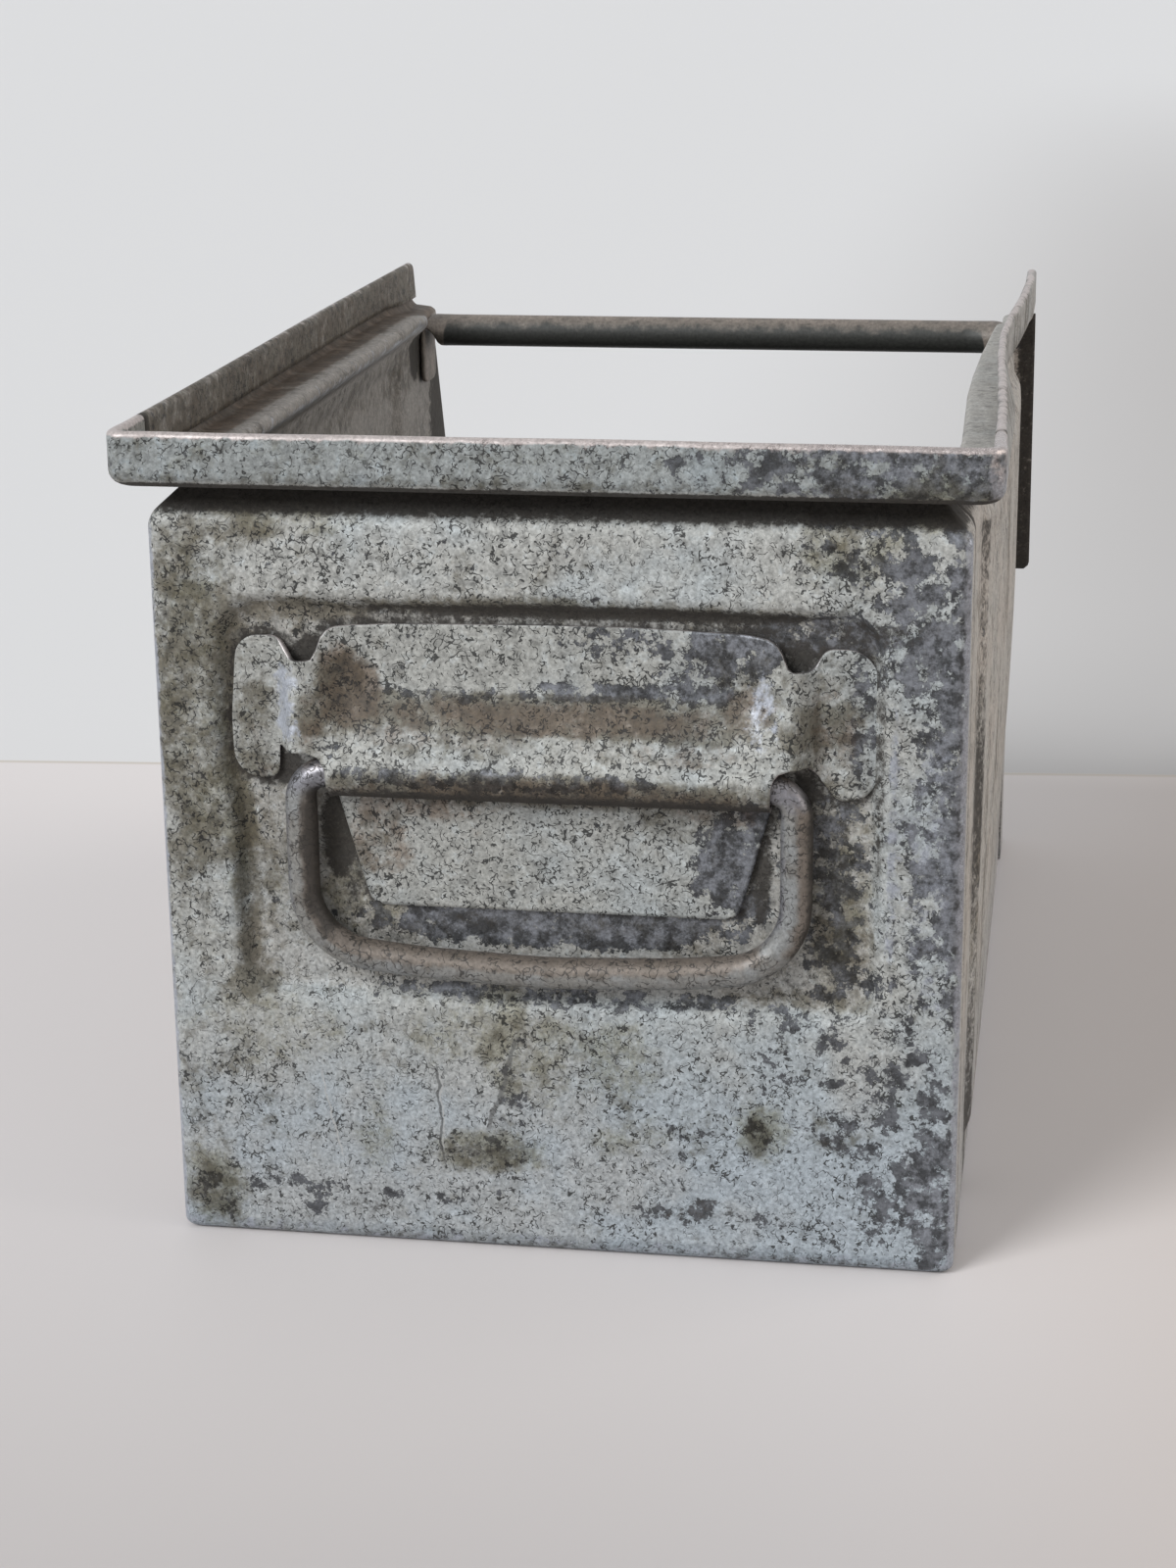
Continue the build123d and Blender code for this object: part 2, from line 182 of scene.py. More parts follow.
def mirror_x(grid):
    """The same grid on the other side of the middle, its columns reversed so that faces still point outwards."""
    return grid[:, ::-1] * np.array([-1.0, 1.0, 1.0])


# ---------------------------------------------------------------- walls


def wall_section():
    """Middle line of a rimmed wall as (distance out, height): flange, panel, shoulder, neck, ledge, rim, hem.

    The shoulder leans in at 43 degrees to the neck, and the hem is a half circle at the rim's top.
    """
    lean = np.tan(np.radians(43.0))
    neck = -8.0 + MID + 1.6 - 1.6 / np.tan(np.radians(21.5))
    rim, hem_top = RIM_OUT - MID, TOP - HEM - MID - 0.03
    shoulder = LEDGE + (neck + MID) * lean
    body = rounded_line(
        [(-16.0, MID), (-MID, MID), (-MID, shoulder), (neck, LEDGE), (rim, LEDGE), (rim, hem_top)],
        [2.0, 5.5, 1.6, 3.2], 1.3,
    )
    angle = np.linspace(0, np.pi, 9)
    fold = np.stack([rim - HEM + HEM * np.cos(angle), hem_top + HEM * np.sin(angle)], 1)
    inner = np.stack([np.full(6, rim - 2 * HEM), np.linspace(hem_top, LEDGE + MID + 2.1, 7)[1:]], 1)
    return np.concatenate([body, fold[1:], inner])


SECTION = wall_section()
OUT, HEIGHT = SECTION[:, :1], SECTION[:, 1:]
NECK = int(np.argmin(np.where(HEIGHT[:, 0] > NECK_FOOT, OUT[:, 0], 0.0)))  # the section's innermost point


def top_of_wall(side, y):
    """The section with its neck and rim as they are at a station Y of the right (1) or left (-1) side wall.

    The neck keeps a share of its full depth, and the ledge droops by up to 3.6 towards the front end. The
    right rim is bent in an S: it is shifted by one line of amounts along its top and by another along its
    foot, with straight steps between. The left one wanders on a sine of 0.3. At the rear corner both fade.
    """
    if side > 0:
        share, crown, foot = (np.interp(y, *stations) for stations in (RIGHT_NECK, RIM_CROWN, RIM_FOOT))
    else:
        share = np.interp(y, *LEFT_NECK)
        crown = foot = 0.3 * np.sin(y / 40 + 1.0) - 0.3
    fading = smooth(np.abs(y - REAR), 0.0, 6.0)
    first, last = -MID - OUT[NECK], RIM_OUT - MID - OUT[NECK]
    above = np.arange(len(OUT))[:, None] > NECK
    to_rim = np.clip((OUT - OUT[NECK]) / last, 0.0, 1.0) * above
    droop = np.where(above, 1 - 0.45 * to_rim, np.clip((-MID - OUT) / first, 0.0, 1.0)) * (HEIGHT > NECK_FOOT)
    droop = droop * np.clip((197.0 - HEIGHT) / 9.0, 0.0, 1.0)
    out = np.where((OUT < -MID) & (HEIGHT > NECK_FOOT), -MID + (OUT + MID) * (1 - (1 - share) * fading), OUT)
    up = np.clip((HEIGHT - 188.0) / 11.0, 0.0, 1.0)
    return out + (foot + (crown - foot) * up) * to_rim * fading, HEIGHT - 3.6 * droop * smooth(y, 90.0, 126.0)


def slant(height):
    """Y of the side walls' slanted front edge at a height."""
    return FRONT + (height - SLANT_FOOT) * (SLANT_TOP_Y - FRONT) / (TOP - SLANT_FOOT)


def rear_wall_grid():
    """The section carried round the rear wall: a short side run, a quarter turn, the rear run, and back.

    The turn's radius grows from the neck to the rim. The handle's recess is pressed in to a depth of 3.5
    over a smooth edge 4.6 wide. The open panel wanders by a sine of X times a sine of Z, 0.28 high, and a
    small slanting sine. The rim leans in by 0.75 and two sines along X.
    """
    radius = np.interp(OUT, [-8.5, -MID, RIM_OUT - MID], [0.3, 2.5, 4.5])
    turn_x, turn_y = HALF + OUT - radius, REAR - OUT + radius
    quarter = np.radians(np.linspace(0, 90, 9))[None, 1:-1]
    side_y = turn_y + (RETURN_END - turn_y) * np.linspace(1, 0, 8)[None]
    (left, left_z), (right, right_z) = top_of_wall(-1, side_y), top_of_wall(1, side_y)
    turn = (turn_x + radius * np.cos(quarter), turn_y - radius * np.sin(quarter))
    across = turn_x * np.linspace(-1, 1, 170)[None]
    x = np.concatenate([-HALF - left, -turn[0], across, turn[0][:, ::-1], HALF + right[:, ::-1]], 1)
    y = np.concatenate([side_y, turn[1], 0 * across + REAR - OUT, turn[1][:, ::-1], side_y[:, ::-1]], 1)
    turn_z = 0 * turn[0] + HEIGHT
    z = np.concatenate([left_z, turn_z, 0 * across + HEIGHT, turn_z, right_z[:, ::-1]], 1)
    deep = recess_depth(x, z)
    panel = smooth(HALF - np.abs(x), 5.0, 14.0) * smooth(z, 8.0, 20.0) * smooth(176.0 - z, 0.0, 12.0)
    wander = 0.28 * np.sin(x / 29 + 0.6) * np.sin(z / 23 + 0.4) + 0.12 * np.sin(x / 12 + z / 15)
    pressed = 3.5 * smooth(deep, -0.6, 4.0) + panel * (1 - smooth(deep, -8.0, -1.0)) * wander
    y = y + np.where(y < REAR + 1.0, pressed, 0.0)
    rim = smooth(z, LEDGE, TOP) * smooth(HALF - np.abs(x), -4.0, 6.0)
    y = y + rim * (0.75 + 0.5 * np.sin(x / 27 + 1.0) + 0.25 * np.sin(x / 9))
    return np.stack([x, y, z], -1)


def recess_depth(x, z):
    """How deep a point of the rear wall lies inside the handle's recess.

    Its left side bulges by 2.9 beside the plate's ear, as exp(-(h / 23)^4) at a height h from the bulge's middle.
    """
    bulge = 2.9 * np.exp(-(((z - 134.0) / 23.0) ** 4)) * smooth(-x, 50.0, 70.0)
    return inside(x, z, *RECESS) + bulge


def side_wall_grids(side):
    """Side wall seen as the right one: the section carried along Y, and a flange turned out along the slant.

    The pressed field stands 1.5 out over a smooth edge 6 wide, and the panel bellies out towards its middle.
    The flange's bend is a quarter circle whose angle is carried along the slanted edge, and beyond it the
    flange is flat. A narrow flat tongue lies under the rear wall's return.
    """
    end = np.where(HEIGHT < SLANT_FOOT, SIDE_END, slant(HEIGHT) - FLANGE_BEND) - scooped(TOP - HEIGHT, ROUND_END)
    y = RETURN_END + (end - RETURN_END) * np.linspace(0, 1, 140)[None]
    out, z = top_of_wall(side, y)
    field = smooth(inside(y, HEIGHT + 0 * y, *SIDE_FIELD), 0.0, 6.0)
    belly = smooth(y, -150.0, -10.0) * smooth(165.0 - y, 0.0, 110.0)
    belly = belly * smooth(z, 5.0, 125.0) * smooth(184.0 - z, 0.0, 14.0)
    out = out + 1.5 * field + (3.4 if side > 0 else 0.8) * belly * (1 + 0.06 * np.sin(y / 19))
    wall = np.stack([HALF + out, y, z], -1)

    keep = (HEIGHT[:, 0] >= SLANT_FOOT) & (HEIGHT[:, 0] <= LEDGE) & (np.arange(len(HEIGHT)) > 20)
    keep &= OUT[:, 0] < RIM_OUT - 3.5
    start, level = wall[keep, -1], wall[keep, -1, 2:]
    angle = np.radians(np.linspace(0, 90, 6))[None]
    reach = np.maximum(HALF + RIM_OUT - scooped(level - SLANT_FOOT, ROUND_END) - start[:, :1], FLANGE_BEND)
    flat = np.linspace(0, 1, 6)[None, 1:]
    bent_out, bent_ahead = FLANGE_BEND * (1 - np.cos(angle)), FLANGE_BEND * np.sin(angle)
    turned = np.concatenate([bent_out + 0 * reach, FLANGE_BEND + (reach - FLANGE_BEND) * flat], 1)
    ahead = np.concatenate([bent_ahead + 0 * reach, FLANGE_BEND + 0 * flat * reach], 1)
    flange = np.stack([start[:, :1] + turned, start[:, 1:2] + ahead, level + 0 * turned], -1)

    v, u = np.meshgrid(np.linspace(8, 172, 80), np.linspace(-164.5, -149.5, 8), indexing="ij")
    tongue = np.stack([0 * u + HALF - 1.5, u, v], -1)
    parts = (wall, flange, tongue)
    return parts if side > 0 else [mirror_x(part) for part in parts]


rear_wall = thicken(grid_mesh("rear_wall_sheet", [rear_wall_grid()]), SHEET)
right_side_wall = thicken(grid_mesh("right_side_wall_sheet", side_wall_grids(1), weld=True), SHEET)
left_side_wall = thicken(grid_mesh("left_side_wall_sheet", side_wall_grids(-1), weld=True), SHEET)


def pan_grid():
    """Floor sheet: a flat rim 24 wide round a field raised by 1.5 over a smooth edge 4 wide.

    The field wanders by a sine of X times a sine of Y, 0.25 high, that fades towards its edges.
    """
    x, y = np.meshgrid(np.linspace(-92.0, 92.0, 90), np.linspace(-165.3, 169.3, 150))
    rise = smooth(inside(x, y, *PAN_FIELD), 0.0, 4.0)
    wave = 0.25 * np.sin(x / 21 + 0.5) * np.sin(y / 33)
    wave = wave * smooth(92 - np.abs(x), 10, 40) * smooth(169 - np.abs(y), 10, 40)
    return np.stack([x, y, 1.5 + 1.5 * rise + rise * (wave + 0.25)], -1)


bottom_pan = thicken(grid_mesh("bottom_pan_sheet", [pan_grid()]), SHEET)

# ---------------------------------------------------------------- handle plate


ROOF = PIVOT_Z + 5.2  # top of the slots that the bail comes out of
NOSE = 4.9  # middle radius of the fold round the wire
SLOPE = np.arctan2(-FOLD, STAND) + np.arcsin(NOSE / np.hypot(STAND, FOLD))  # direction of the straight slope
LIFT = (ROOF - PIVOT_Z - FOLD) / np.tan(SLOPE)  # how far the slope stands out of the flat plate at the roof


def plate_path():
    """Section of the plate's middle line from the slots' roof down: nose round the wire, under it, lower tab."""
    under = PIVOT_Z - NOSE
    corner = PLATE_OUT + (under - PIVOT_Z - FOLD) / np.tan(SLOPE)
    points = [(PLATE_OUT + LIFT, ROOF), (corner, under), (PLATE_OUT, under), (PLATE_OUT, TAB_FOOT)]
    return rounded_line(points, [NOSE, 1.7], 0.9, 12)


def outline(points, radii):
    """A rounded outline as heights over rising X, for reading at any column."""
    line = rounded_line(points, radii, 0.5, 7)
    return line[:, 0], line[:, 1]


def plate_grids():
    """The upper plate as a height field over (x, z), and the folded lower part carried along its section.

    The height is the hyperbola a + sqrt(a^2 + 1.6^2), scaled, that joins the flat plate to the slope, where
    a is the height of the straight slope. At each end a crest keeps the slope's height up to the notch, eases
    down to the slope on its inner side and falls to the flat ear on the other.
    """
    top_x, top_z = outline(
        [(-76.2, 131.0), (-74.4, 151.3), (-64.8, 151.3), (-60.3, 146.1), (-55.7, 146.1), (-53.1, 153.9),
         (-37.0, 154.9), (-0.5, 155.6), (20.0, 155.6), (44.5, 154.8), (52.4, 154.2), (54.9, 146.9),
         (60.0, 146.9), (63.1, 151.9), (75.0, 151.9), (75.3, 131.0)],
        [5.6, 3.6, 1.8, 1.7, 4.6, 1.0, 1.0, 1.0, 1.0, 5.2, 2.2, 2.4, 3.4, 7.4],
    )
    low_x, low_z = outline(
        [(-76.2, 131.0), (-75.9, 116.8), (-65.4, 116.8), (-64.7, ROOF), (59.2, ROOF), (66.2, 116.2),
         (74.9, 116.2), (75.3, 131.0)],
        [6.6, 2.8, 0.8, 1.6, 4.0, 7.0],
    )
    left, right = -57.2, 55.8
    share = np.linspace(0, 1, 101)
    middle = np.round(left + (right - left) * share, 3)
    ends = np.concatenate([top_x, low_x, np.linspace(-76.1, left, 36), np.linspace(right, 75.2, 36)])
    ends = np.unique(np.round(ends, 1))
    ends = ends[(ends < left - 0.05) | (ends > right + 0.05)]
    x = np.sort(np.concatenate([middle, ends]))
    high, low = np.interp(x, top_x, top_z)[None], np.interp(x, low_x, low_z)[None]
    z = high + (low - high) * np.linspace(0, 1, 48)[:, None]
    x = np.broadcast_to(x, z.shape)

    ahead = (PIVOT_Z + FOLD - z) / np.tan(-SLOPE)
    rise = (ahead + np.hypot(ahead, 1.6)) * LIFT / (LIFT + np.hypot(LIFT, 1.6))
    rise = np.where(z < ROOF, LIFT, rise)
    crest = LIFT * (1 - 0.5 * smooth(z, ROOF, PIVOT_Z + 27.0))
    near = np.maximum(smooth(-46.5 - x, 0.0, 13.0), smooth(x - 43.0, 0.0, 12.6))
    on_plate = smooth(x + 65.0, 0.0, 5.4) * smooth(62.2 - x, 0.0, 6.2)
    height = (rise + (np.maximum(crest, rise) - rise) * near) * on_plate
    upper = np.stack([GRIP_X + x, REAR - PLATE_OUT - height, z], -1)

    path = plate_path()
    out, level = path[:, :1], path[:, 1:]
    edge = np.interp(level, [TAB_FOOT, PIVOT_Z - NOSE, ROOF], [43.5, 51.4, 52.0]) - scooped(level - TAB_FOOT, ROUND_END)
    first = -edge - 0.2 - scooped(ROOF - level, 5.0)
    last = edge - 0.2 + scooped(ROOF - level, 4.0)
    across = np.round(first + (last - first) * share[None], 3)
    lower = np.stack([GRIP_X + across, REAR - out + 0 * across, level + 0 * across], -1)
    return upper, lower


upper, lower = plate_grids()
handle_plate = thicken(grid_mesh("handle_plate_stamping", [upper, lower], flip=True, weld=True), PLATE_SHEET)

# ---------------------------------------------------------------- bail and rod


ALONG_Y = [0.0, 1.0, 0.0]


def tube(line, side, width, depth, power=2.0, sides=28):
    """Rings of a superellipse |a|^p + |b|^p = 1 along a line, closed to a point at both ends.

    side is a unit vector across the line at each point; the other axis is the line's direction times it.
    """
    ahead = np.gradient(line, axis=0)
    ahead /= np.linalg.norm(ahead, axis=1, keepdims=True)
    other = np.cross(ahead, side)
    other /= np.linalg.norm(other, axis=1, keepdims=True)
    side = np.cross(other, ahead)
    angle = np.linspace(0, 2 * np.pi, sides, endpoint=False)[None, :, None]
    power = np.asarray(power, float).reshape(-1, 1, 1)
    a = np.sign(np.cos(angle)) * np.abs(np.cos(angle)) ** (2 / power)
    b = np.sign(np.sin(angle)) * np.abs(np.sin(angle)) ** (2 / power)
    rings = line[:, None] + side[:, None] * a * width.reshape(-1, 1, 1) + other[:, None] * b * depth.reshape(-1, 1, 1)
    first = np.broadcast_to(line[0], rings[:1].shape)
    last = np.broadcast_to(line[-1], rings[-1:].shape)
    return np.concatenate([first, rings, last])


def bail_line():
    """Middle line of the bail in (x, z): stub, elbow, leg, corner, bowed bar, and back."""
    half, drop = 58.2, 47.5
    bar = PIVOT_Z - drop
    points = [
        (-half + 26.5, PIVOT_Z), (-half, PIVOT_Z), (-half, bar + 4.2), (-30.0, bar + 1.3), (0.0, bar),
        (30.0, bar + 1.3), (half, bar + 4.2), (half, PIVOT_Z), (half - 26.5, PIVOT_Z),
    ]
    return rounded_line(points, [6.5, 17.0, 60.0, 200.0, 60.0, 17.0, 6.5], 1.6, 14)


across, up = bail_line().T
line = np.stack([BAIL_X + across, np.full(len(across), PIVOT_Y), up], 1)
elbow = np.exp(-(((up - 117.5) / 3.5) ** 2) - (((np.abs(across) - 56.0) / 5.0) ** 2))  # pressed a little flatter
bail = grid_mesh(
    "bail_wire",
    [tube(line, np.tile(ALONG_Y, (len(line), 1)), WIRE - 0.15 * elbow, WIRE - 0.35 * elbow)],
    closed=True, weld=True,
)


def rod_grid():
    """The rod: a round tube whose ends widen and flatten at the level of its top, then turn down the walls.

    The section is a circle of radius 5 that turns into a flat superellipse. Its middle is lowered ring by
    ring as it gets deeper, so that its top stays level.
    """
    arc = rounded_line([(-92.6, 163.2), (-92.6, 183.2), (0.0, 183.2)], [4.0], 0.8, 12)
    line = np.concatenate([arc, arc[-2::-1] * [-1, 1]])
    reach = np.concatenate([[0], np.cumsum(np.linalg.norm(np.diff(line, axis=0), axis=1))])
    from_end = np.minimum(reach, reach[-1] - reach)
    flat = 1 - smooth(from_end, 17.0, 23.5)
    width = 5.0 + 3.4 * (1 - smooth(from_end, 17.0, 31.0)) - scooped(from_end, 3.0)
    depth = 5.0 - 4.1 * flat
    points = np.stack([line[:, 0], np.full(len(line), 126.8), line[:, 1]], 1)
    rings = tube(points, np.tile(ALONG_Y, (len(line), 1)), width, depth, 2.0 + 2.0 * flat)
    rings[1:-1, :, 2] -= 3.9 * (1 - flat)[:, None]
    return rings


rod = grid_mesh("carrying_rod_tube", [rod_grid()], closed=True, weld=True)

# ---------------------------------------------------------------- where the wear and dirt are, and where light and shade are painted


def places(piece):
    """X, Y and Z of the piece's points in millimetres."""
    flat = np.empty(3 * len(piece.data.vertices), np.float32)
    piece.data.vertices.foreach_get("co", flat)
    return flat.reshape(-1, 3).T.astype(float) * 1000


def mark(piece, **amounts):
    """Keep named numbers between 0 and 1 at the piece's points, for its finishes to read."""
    for name, amount in amounts.items():
        layer = piece.data.attributes.new(name, "FLOAT", "POINT")
        layer.data.foreach_set("value", np.clip(amount, 0, 1).astype(np.float32))


def spots(a, b, table):
    """Soft ellipses in a plane, given as centre, half widths and amount. The strongest one counts."""
    x, z, wide, high, amount = np.array(table, float).T
    near = 1.3 - np.hypot((a[:, None] - x) / wide, (b[:, None] - z) / high)
    return (amount * smooth(near, 0.0, 0.8)).max(1)


# Scratches on the rear wall: a and b of the line x = a + b * z, the heights between, the width and the tone
SCRATCHES = [
    (-49.2, -0.19, 20.0, 46.0, 0.32, 0.40), (-28.2, -0.02, 19.0, 49.0, 0.4, 0.06),
    (-27.6, -0.02, 23.0, 47.0, 0.25, 0.40), (-25.9, 0.29, 29.0, 57.0, 0.9, 0.08),
]

# Spots on the rear wall and on the handle plate: x and z of the middle, half width, half height and amount
BARE_ON_WALL = [
    (94, 131, 7, 73, 0.75), (82, 158, 11, 20, 0.6), (70, 176, 15, 13, 0.5), (87, 108, 7, 41, 0.45),
    (84, 38, 13, 29, 0.35), (91, 21, 11, 20, 0.55), (-2, 83, 53, 6.5, 1.0), (-27, 85, 14, 6, 0.9),
    (40, 89, 18, 7, 0.6), (64, 98, 11, 30, 0.62), (62, 155, 24, 6, 0.8), (68, 71, 11, 6, 0.5),
    (8, 65, 65, 3, 0.6), (-86, 9, 7, 8, 0.5), (-66, 12, 15, 7, 0.35), (-17, 25, 17, 6, 0.35),
    (31, 32, 9, 8, 0.3), (66, 35, 9, 6, 0.45), (48, 34, 4, 7, 0.5), (59, 54, 14, 12, 0.3),
    (-12, 45, 5, 15, 0.35), (78, 17, 9, 13, 0.4), (31, 13, 24, 5, 0.4), (-29, 14, 24, 4, 0.3),
]
# Brown marks: dirt, and painted shade on the recess's left slope, at its lower left corner and along its top edge
GRIME_AND_SHADE_ON_WALL = [
    (-77, 139, 3, 26, 1.0), (-75, 91, 3, 29, 0.9), (-74, 66, 7, 5, 0.8), (-85, 134, 12, 47, 0.45),
    (-68, 92, 10, 20, 0.15), (0, 165, 27, 5, 0.25), (18, 165, 4, 2, 0.5), (-58, 158, 16, 3, 0.7),
    (0, 160, 54, 3, 0.8), (-17, 25, 17, 6, 0.7), (48, 34, 3.5, 6, 0.9), (66, 35, 8, 5, 0.6),
    (-11, 52, 7, 12, 0.5), (-40, 53, 10, 10, 0.35), (7, 43, 19, 13, 0.3), (31, 35, 12, 8, 0.3),
    (-85, 11, 7, 9, 0.6), (67, 83, 9, 14, 0.5), (68, 176, 9, 13, 0.35), (-73, 179, 14, 7, 0.5),
    (60, 67, 20, 3, 0.6),
]
# Near-black marks: dirt, and painted shade along the recess's top edge, in the bail's slots and the plate's notches,
# beside and under the plate's lower tab, and beside the bail
SOOT_AND_SHADE_ON_WALL = [
    (10, 159, 62, 2.2, 1.0), (69, 156, 20, 5, 0.5), (-37, 158, 18, 2, 0.6), (-58, 148, 3.5, 4, 0.9),
    (57, 150, 4, 4, 0.9), (-52, 104, 5, 14, 0.9), (48, 97, 3, 14, 0.8), (-20, 83, 21, 3, 0.4),
    (75.5, 122, 1.5, 34, 0.5), (62, 105, 9, 22, 0.42), (56, 72, 18, 7, 0.35), (-40, 78, 10, 8, 0.4),
    (-49, 98, 4, 18, 0.6), (31, 12, 14, 2, 0.4), (-64, 119, 5, 4.5, 1.0), (58, 118, 4.5, 5, 0.9),
    (-48, 9, 9, 2.5, 0.42), (37, 14, 8, 3, 0.38), (-20, 2, 50, 1.5, 0.36), (55, 2, 36, 1.5, 0.4),
    (-18, 25, 12, 3, 0.4),
]
FILM_ON_WALL = [
    (-14, 56, 8, 14, 0.8), (-12, 46, 5, 10, 0.7), (0, 50, 12, 13, 0.65), (13, 50, 14, 12, 0.6),
    (-28, 56, 10, 10, 0.6), (18, 31, 13, 8, 0.55), (-71, 55, 24, 13, 0.45), (-18, 25, 18, 6, 0.8),
    (-45, 28, 6, 13, 0.55), (49, 34, 7, 9, 0.9), (-86, 13, 10, 12, 0.8), (68, 178, 14, 12, 0.7),
    (66, 95, 10, 35, 0.6), (-60, 180, 25, 6, 0.6), (-85, 134, 12, 47, 0.6), (-68, 92, 10, 20, 0.3),
    (88, 186, 14, 8, 0.9), (-76, 118, 5, 40, 0.7), (-51, 96, 6, 20, 0.85), (-43, 86, 9, 7, 0.75),
]
# A painted highlight along the recess's right edge, and bluish wear beside it
WEAR_AND_HIGHLIGHT_ON_WALL = [(78.5, 106, 1.6, 44, 1.0), (87, 98, 8, 48, 0.8)]
FILM_ON_PLATE = [
    (-48, 138, 9, 9, 1.0), (-51, 146, 5, 6, 0.9), (0, 134, 54, 4.5, 0.9), (-28, 130, 26, 4, 0.6),
    (45, 137, 8, 7, 0.7), (64, 133, 8, 14, 0.5), (0, 117, 54, 5, 0.9), (-42, 104, 9, 12, 0.75),
    (38, 112, 12, 4, 0.7), (-30, 111, 20, 4, 0.6), (-70, 123, 5, 8, 0.5), (-56, 134, 4, 10, 0.6),
    (30, 127, 26, 3, 0.4),
]
BARE_ON_PLATE = [
    (-12, 120.8, 44, 2.6, 0.7), (0, 139.5, 50, 1.5, 0.55), (42, 151, 13, 8, 0.9), (31, 142, 13, 6, 0.6),
    (8, 140, 25, 3, 0.7), (-26, 138.5, 14, 2, 0.6), (-38, 152, 14, 1, 0.3), (20, 152, 20, 5, 0.5),
    (71, 135, 4, 18, 0.6), (41, 99, 10, 13, 1.0), (47, 110, 5, 8, 0.8), (17, 121, 34, 1, 0.5),
    (-27, 120, 14, 1, 0.5), (-62, 123, 3, 14, 0.25), (35, 143, 10, 7, 0.6),
]
# Brown marks on the plate: dirt, and painted shade in the valley inside the left crest
GRIME_AND_SHADE_ON_PLATE = [
    (-50, 139, 7, 11, 1.0), (-38, 136, 14, 3, 0.7), (-56, 131, 5, 9, 0.6), (-1, 134.5, 52, 5, 1.0),
    (31, 134, 18, 6, 0.7), (-71, 134, 5, 16, 0.45), (45, 146, 16, 8, 0.55), (0, 118.5, 54, 4.5, 0.75),
    (-1, 127, 52, 3, 0.4), (58, 130, 4, 10, 0.8), (64, 135, 8, 16, 0.5), (-72, 125, 5, 7, 0.5),
    (-36, 143, 2, 2, 0.6), (-43, 102, 7, 14, 0.5), (-1, 113.5, 50, 2.5, 0.6), (29, 110, 14, 7, 0.5),
    (41, 99, 10, 11, 0.2),
]

# Near-black marks on the plate: painted shade in the left valley and along the fold's crease, and dark marks on the
# right ear and along the nose
SOOT_AND_SHADE_ON_PLATE = [(-50, 140, 5, 8, 0.42), (70, 132, 6, 16, 0.33), (0, 138.8, 50, 1.2, 0.4), (0, 118.0, 54, 3.5, 0.42)]
# Wear on the right crest's flank that faces the light, with a painted highlight
WEAR_AND_HIGHLIGHT_ON_PLATE = [(49, 137, 5, 11, 0.5)]
# The same on the inner face of a side wall, over y and z: dark patches beside the rod's tab and along the front edge
DARK_PATCHES_INSIDE_SIDE = [(112, 173, 7, 9, 1.0), (146, 150, 16, 30, 0.9), (160, 100, 12, 40, 0.6)]


def from_plate(x, z):
    """Distance over (x, z) from the outline of the handle plate."""
    edges = [upper[0], upper[-1], upper[:, 0], upper[:, -1], lower[:, 0], lower[:, -1], lower[-1]]
    edges = np.concatenate(edges)
    return np.hypot(x[:, None] - edges[:, 0], z[:, None] - edges[:, 2]).min(1)


def in_neck(z, low, high):
    """Rises between two heights to 1 in the neck, and ends just above the ledge."""
    return smooth(z, low, high) * smooth(189.3 - z, 0.0, 1.0)


x, y, z = places(rear_wall)
# A band round the handle plate's outline: painted shade where the plate meets the wall, with dirt
by_plate = smooth(3.8 - from_plate(x, z), 0.0, 2.8) * (y < REAR + 8.0) * (np.abs(z - 125.0) < 38.0)
outside = smooth(REAR + 6.5 - y, 0.0, 2.0)
on_rim = smooth(z, 188.0, 189.5)
corner = smooth(np.abs(x) - HALF + 2.6, 0.0, 1.6) * outside * (z < 178)
mark(
    rear_wall,
    bare=outside * (spots(x, z, BARE_ON_WALL) * (1 - on_rim) + 0.12 * smooth(x, 35, 95))
    + 0.68 * on_rim * smooth(x, -10, 80),
    grime=outside * (
        spots(x, z, GRIME_AND_SHADE_ON_WALL)
        + 0.3 * smooth(-x, 45, 90) * (1 - on_rim)
        # darker inside the recess: painted shade
        + 0.25 * smooth(recess_depth(x, z), 0.0, 3.0)
    ) + on_rim * (0.22 + 0.3 * smooth(191.5 - z, 0.0, 1.5)),
    soot=np.maximum(spots(x, z, SOOT_AND_SHADE_ON_WALL), 0.62 * by_plate) * outside
    # painted shade with dirt in the neck under the rim
    + in_neck(z, 178.3, 181.5) * smooth(REAR + 18 - y, 0, 3),
    worn=np.maximum.reduce([
        0.42 * smooth(5.2 - z, 0.0, 2.5) * outside,
        0.7 * corner,
        0.55 * spots(x, z, WEAR_AND_HIGHLIGHT_ON_WALL) * outside,
        smooth(z, 198.0, 199.3),
        0.6 * on_rim * smooth(x, 96.5, 99.0),
    ]),
    film=outside * spots(x, z, FILM_ON_WALL) + 0.2 * on_rim,
    grime_in=0.3 + 0.7 * smooth(z, 184.5, 186.0) * smooth(191.0 - z, 0.0, 2.0),
)
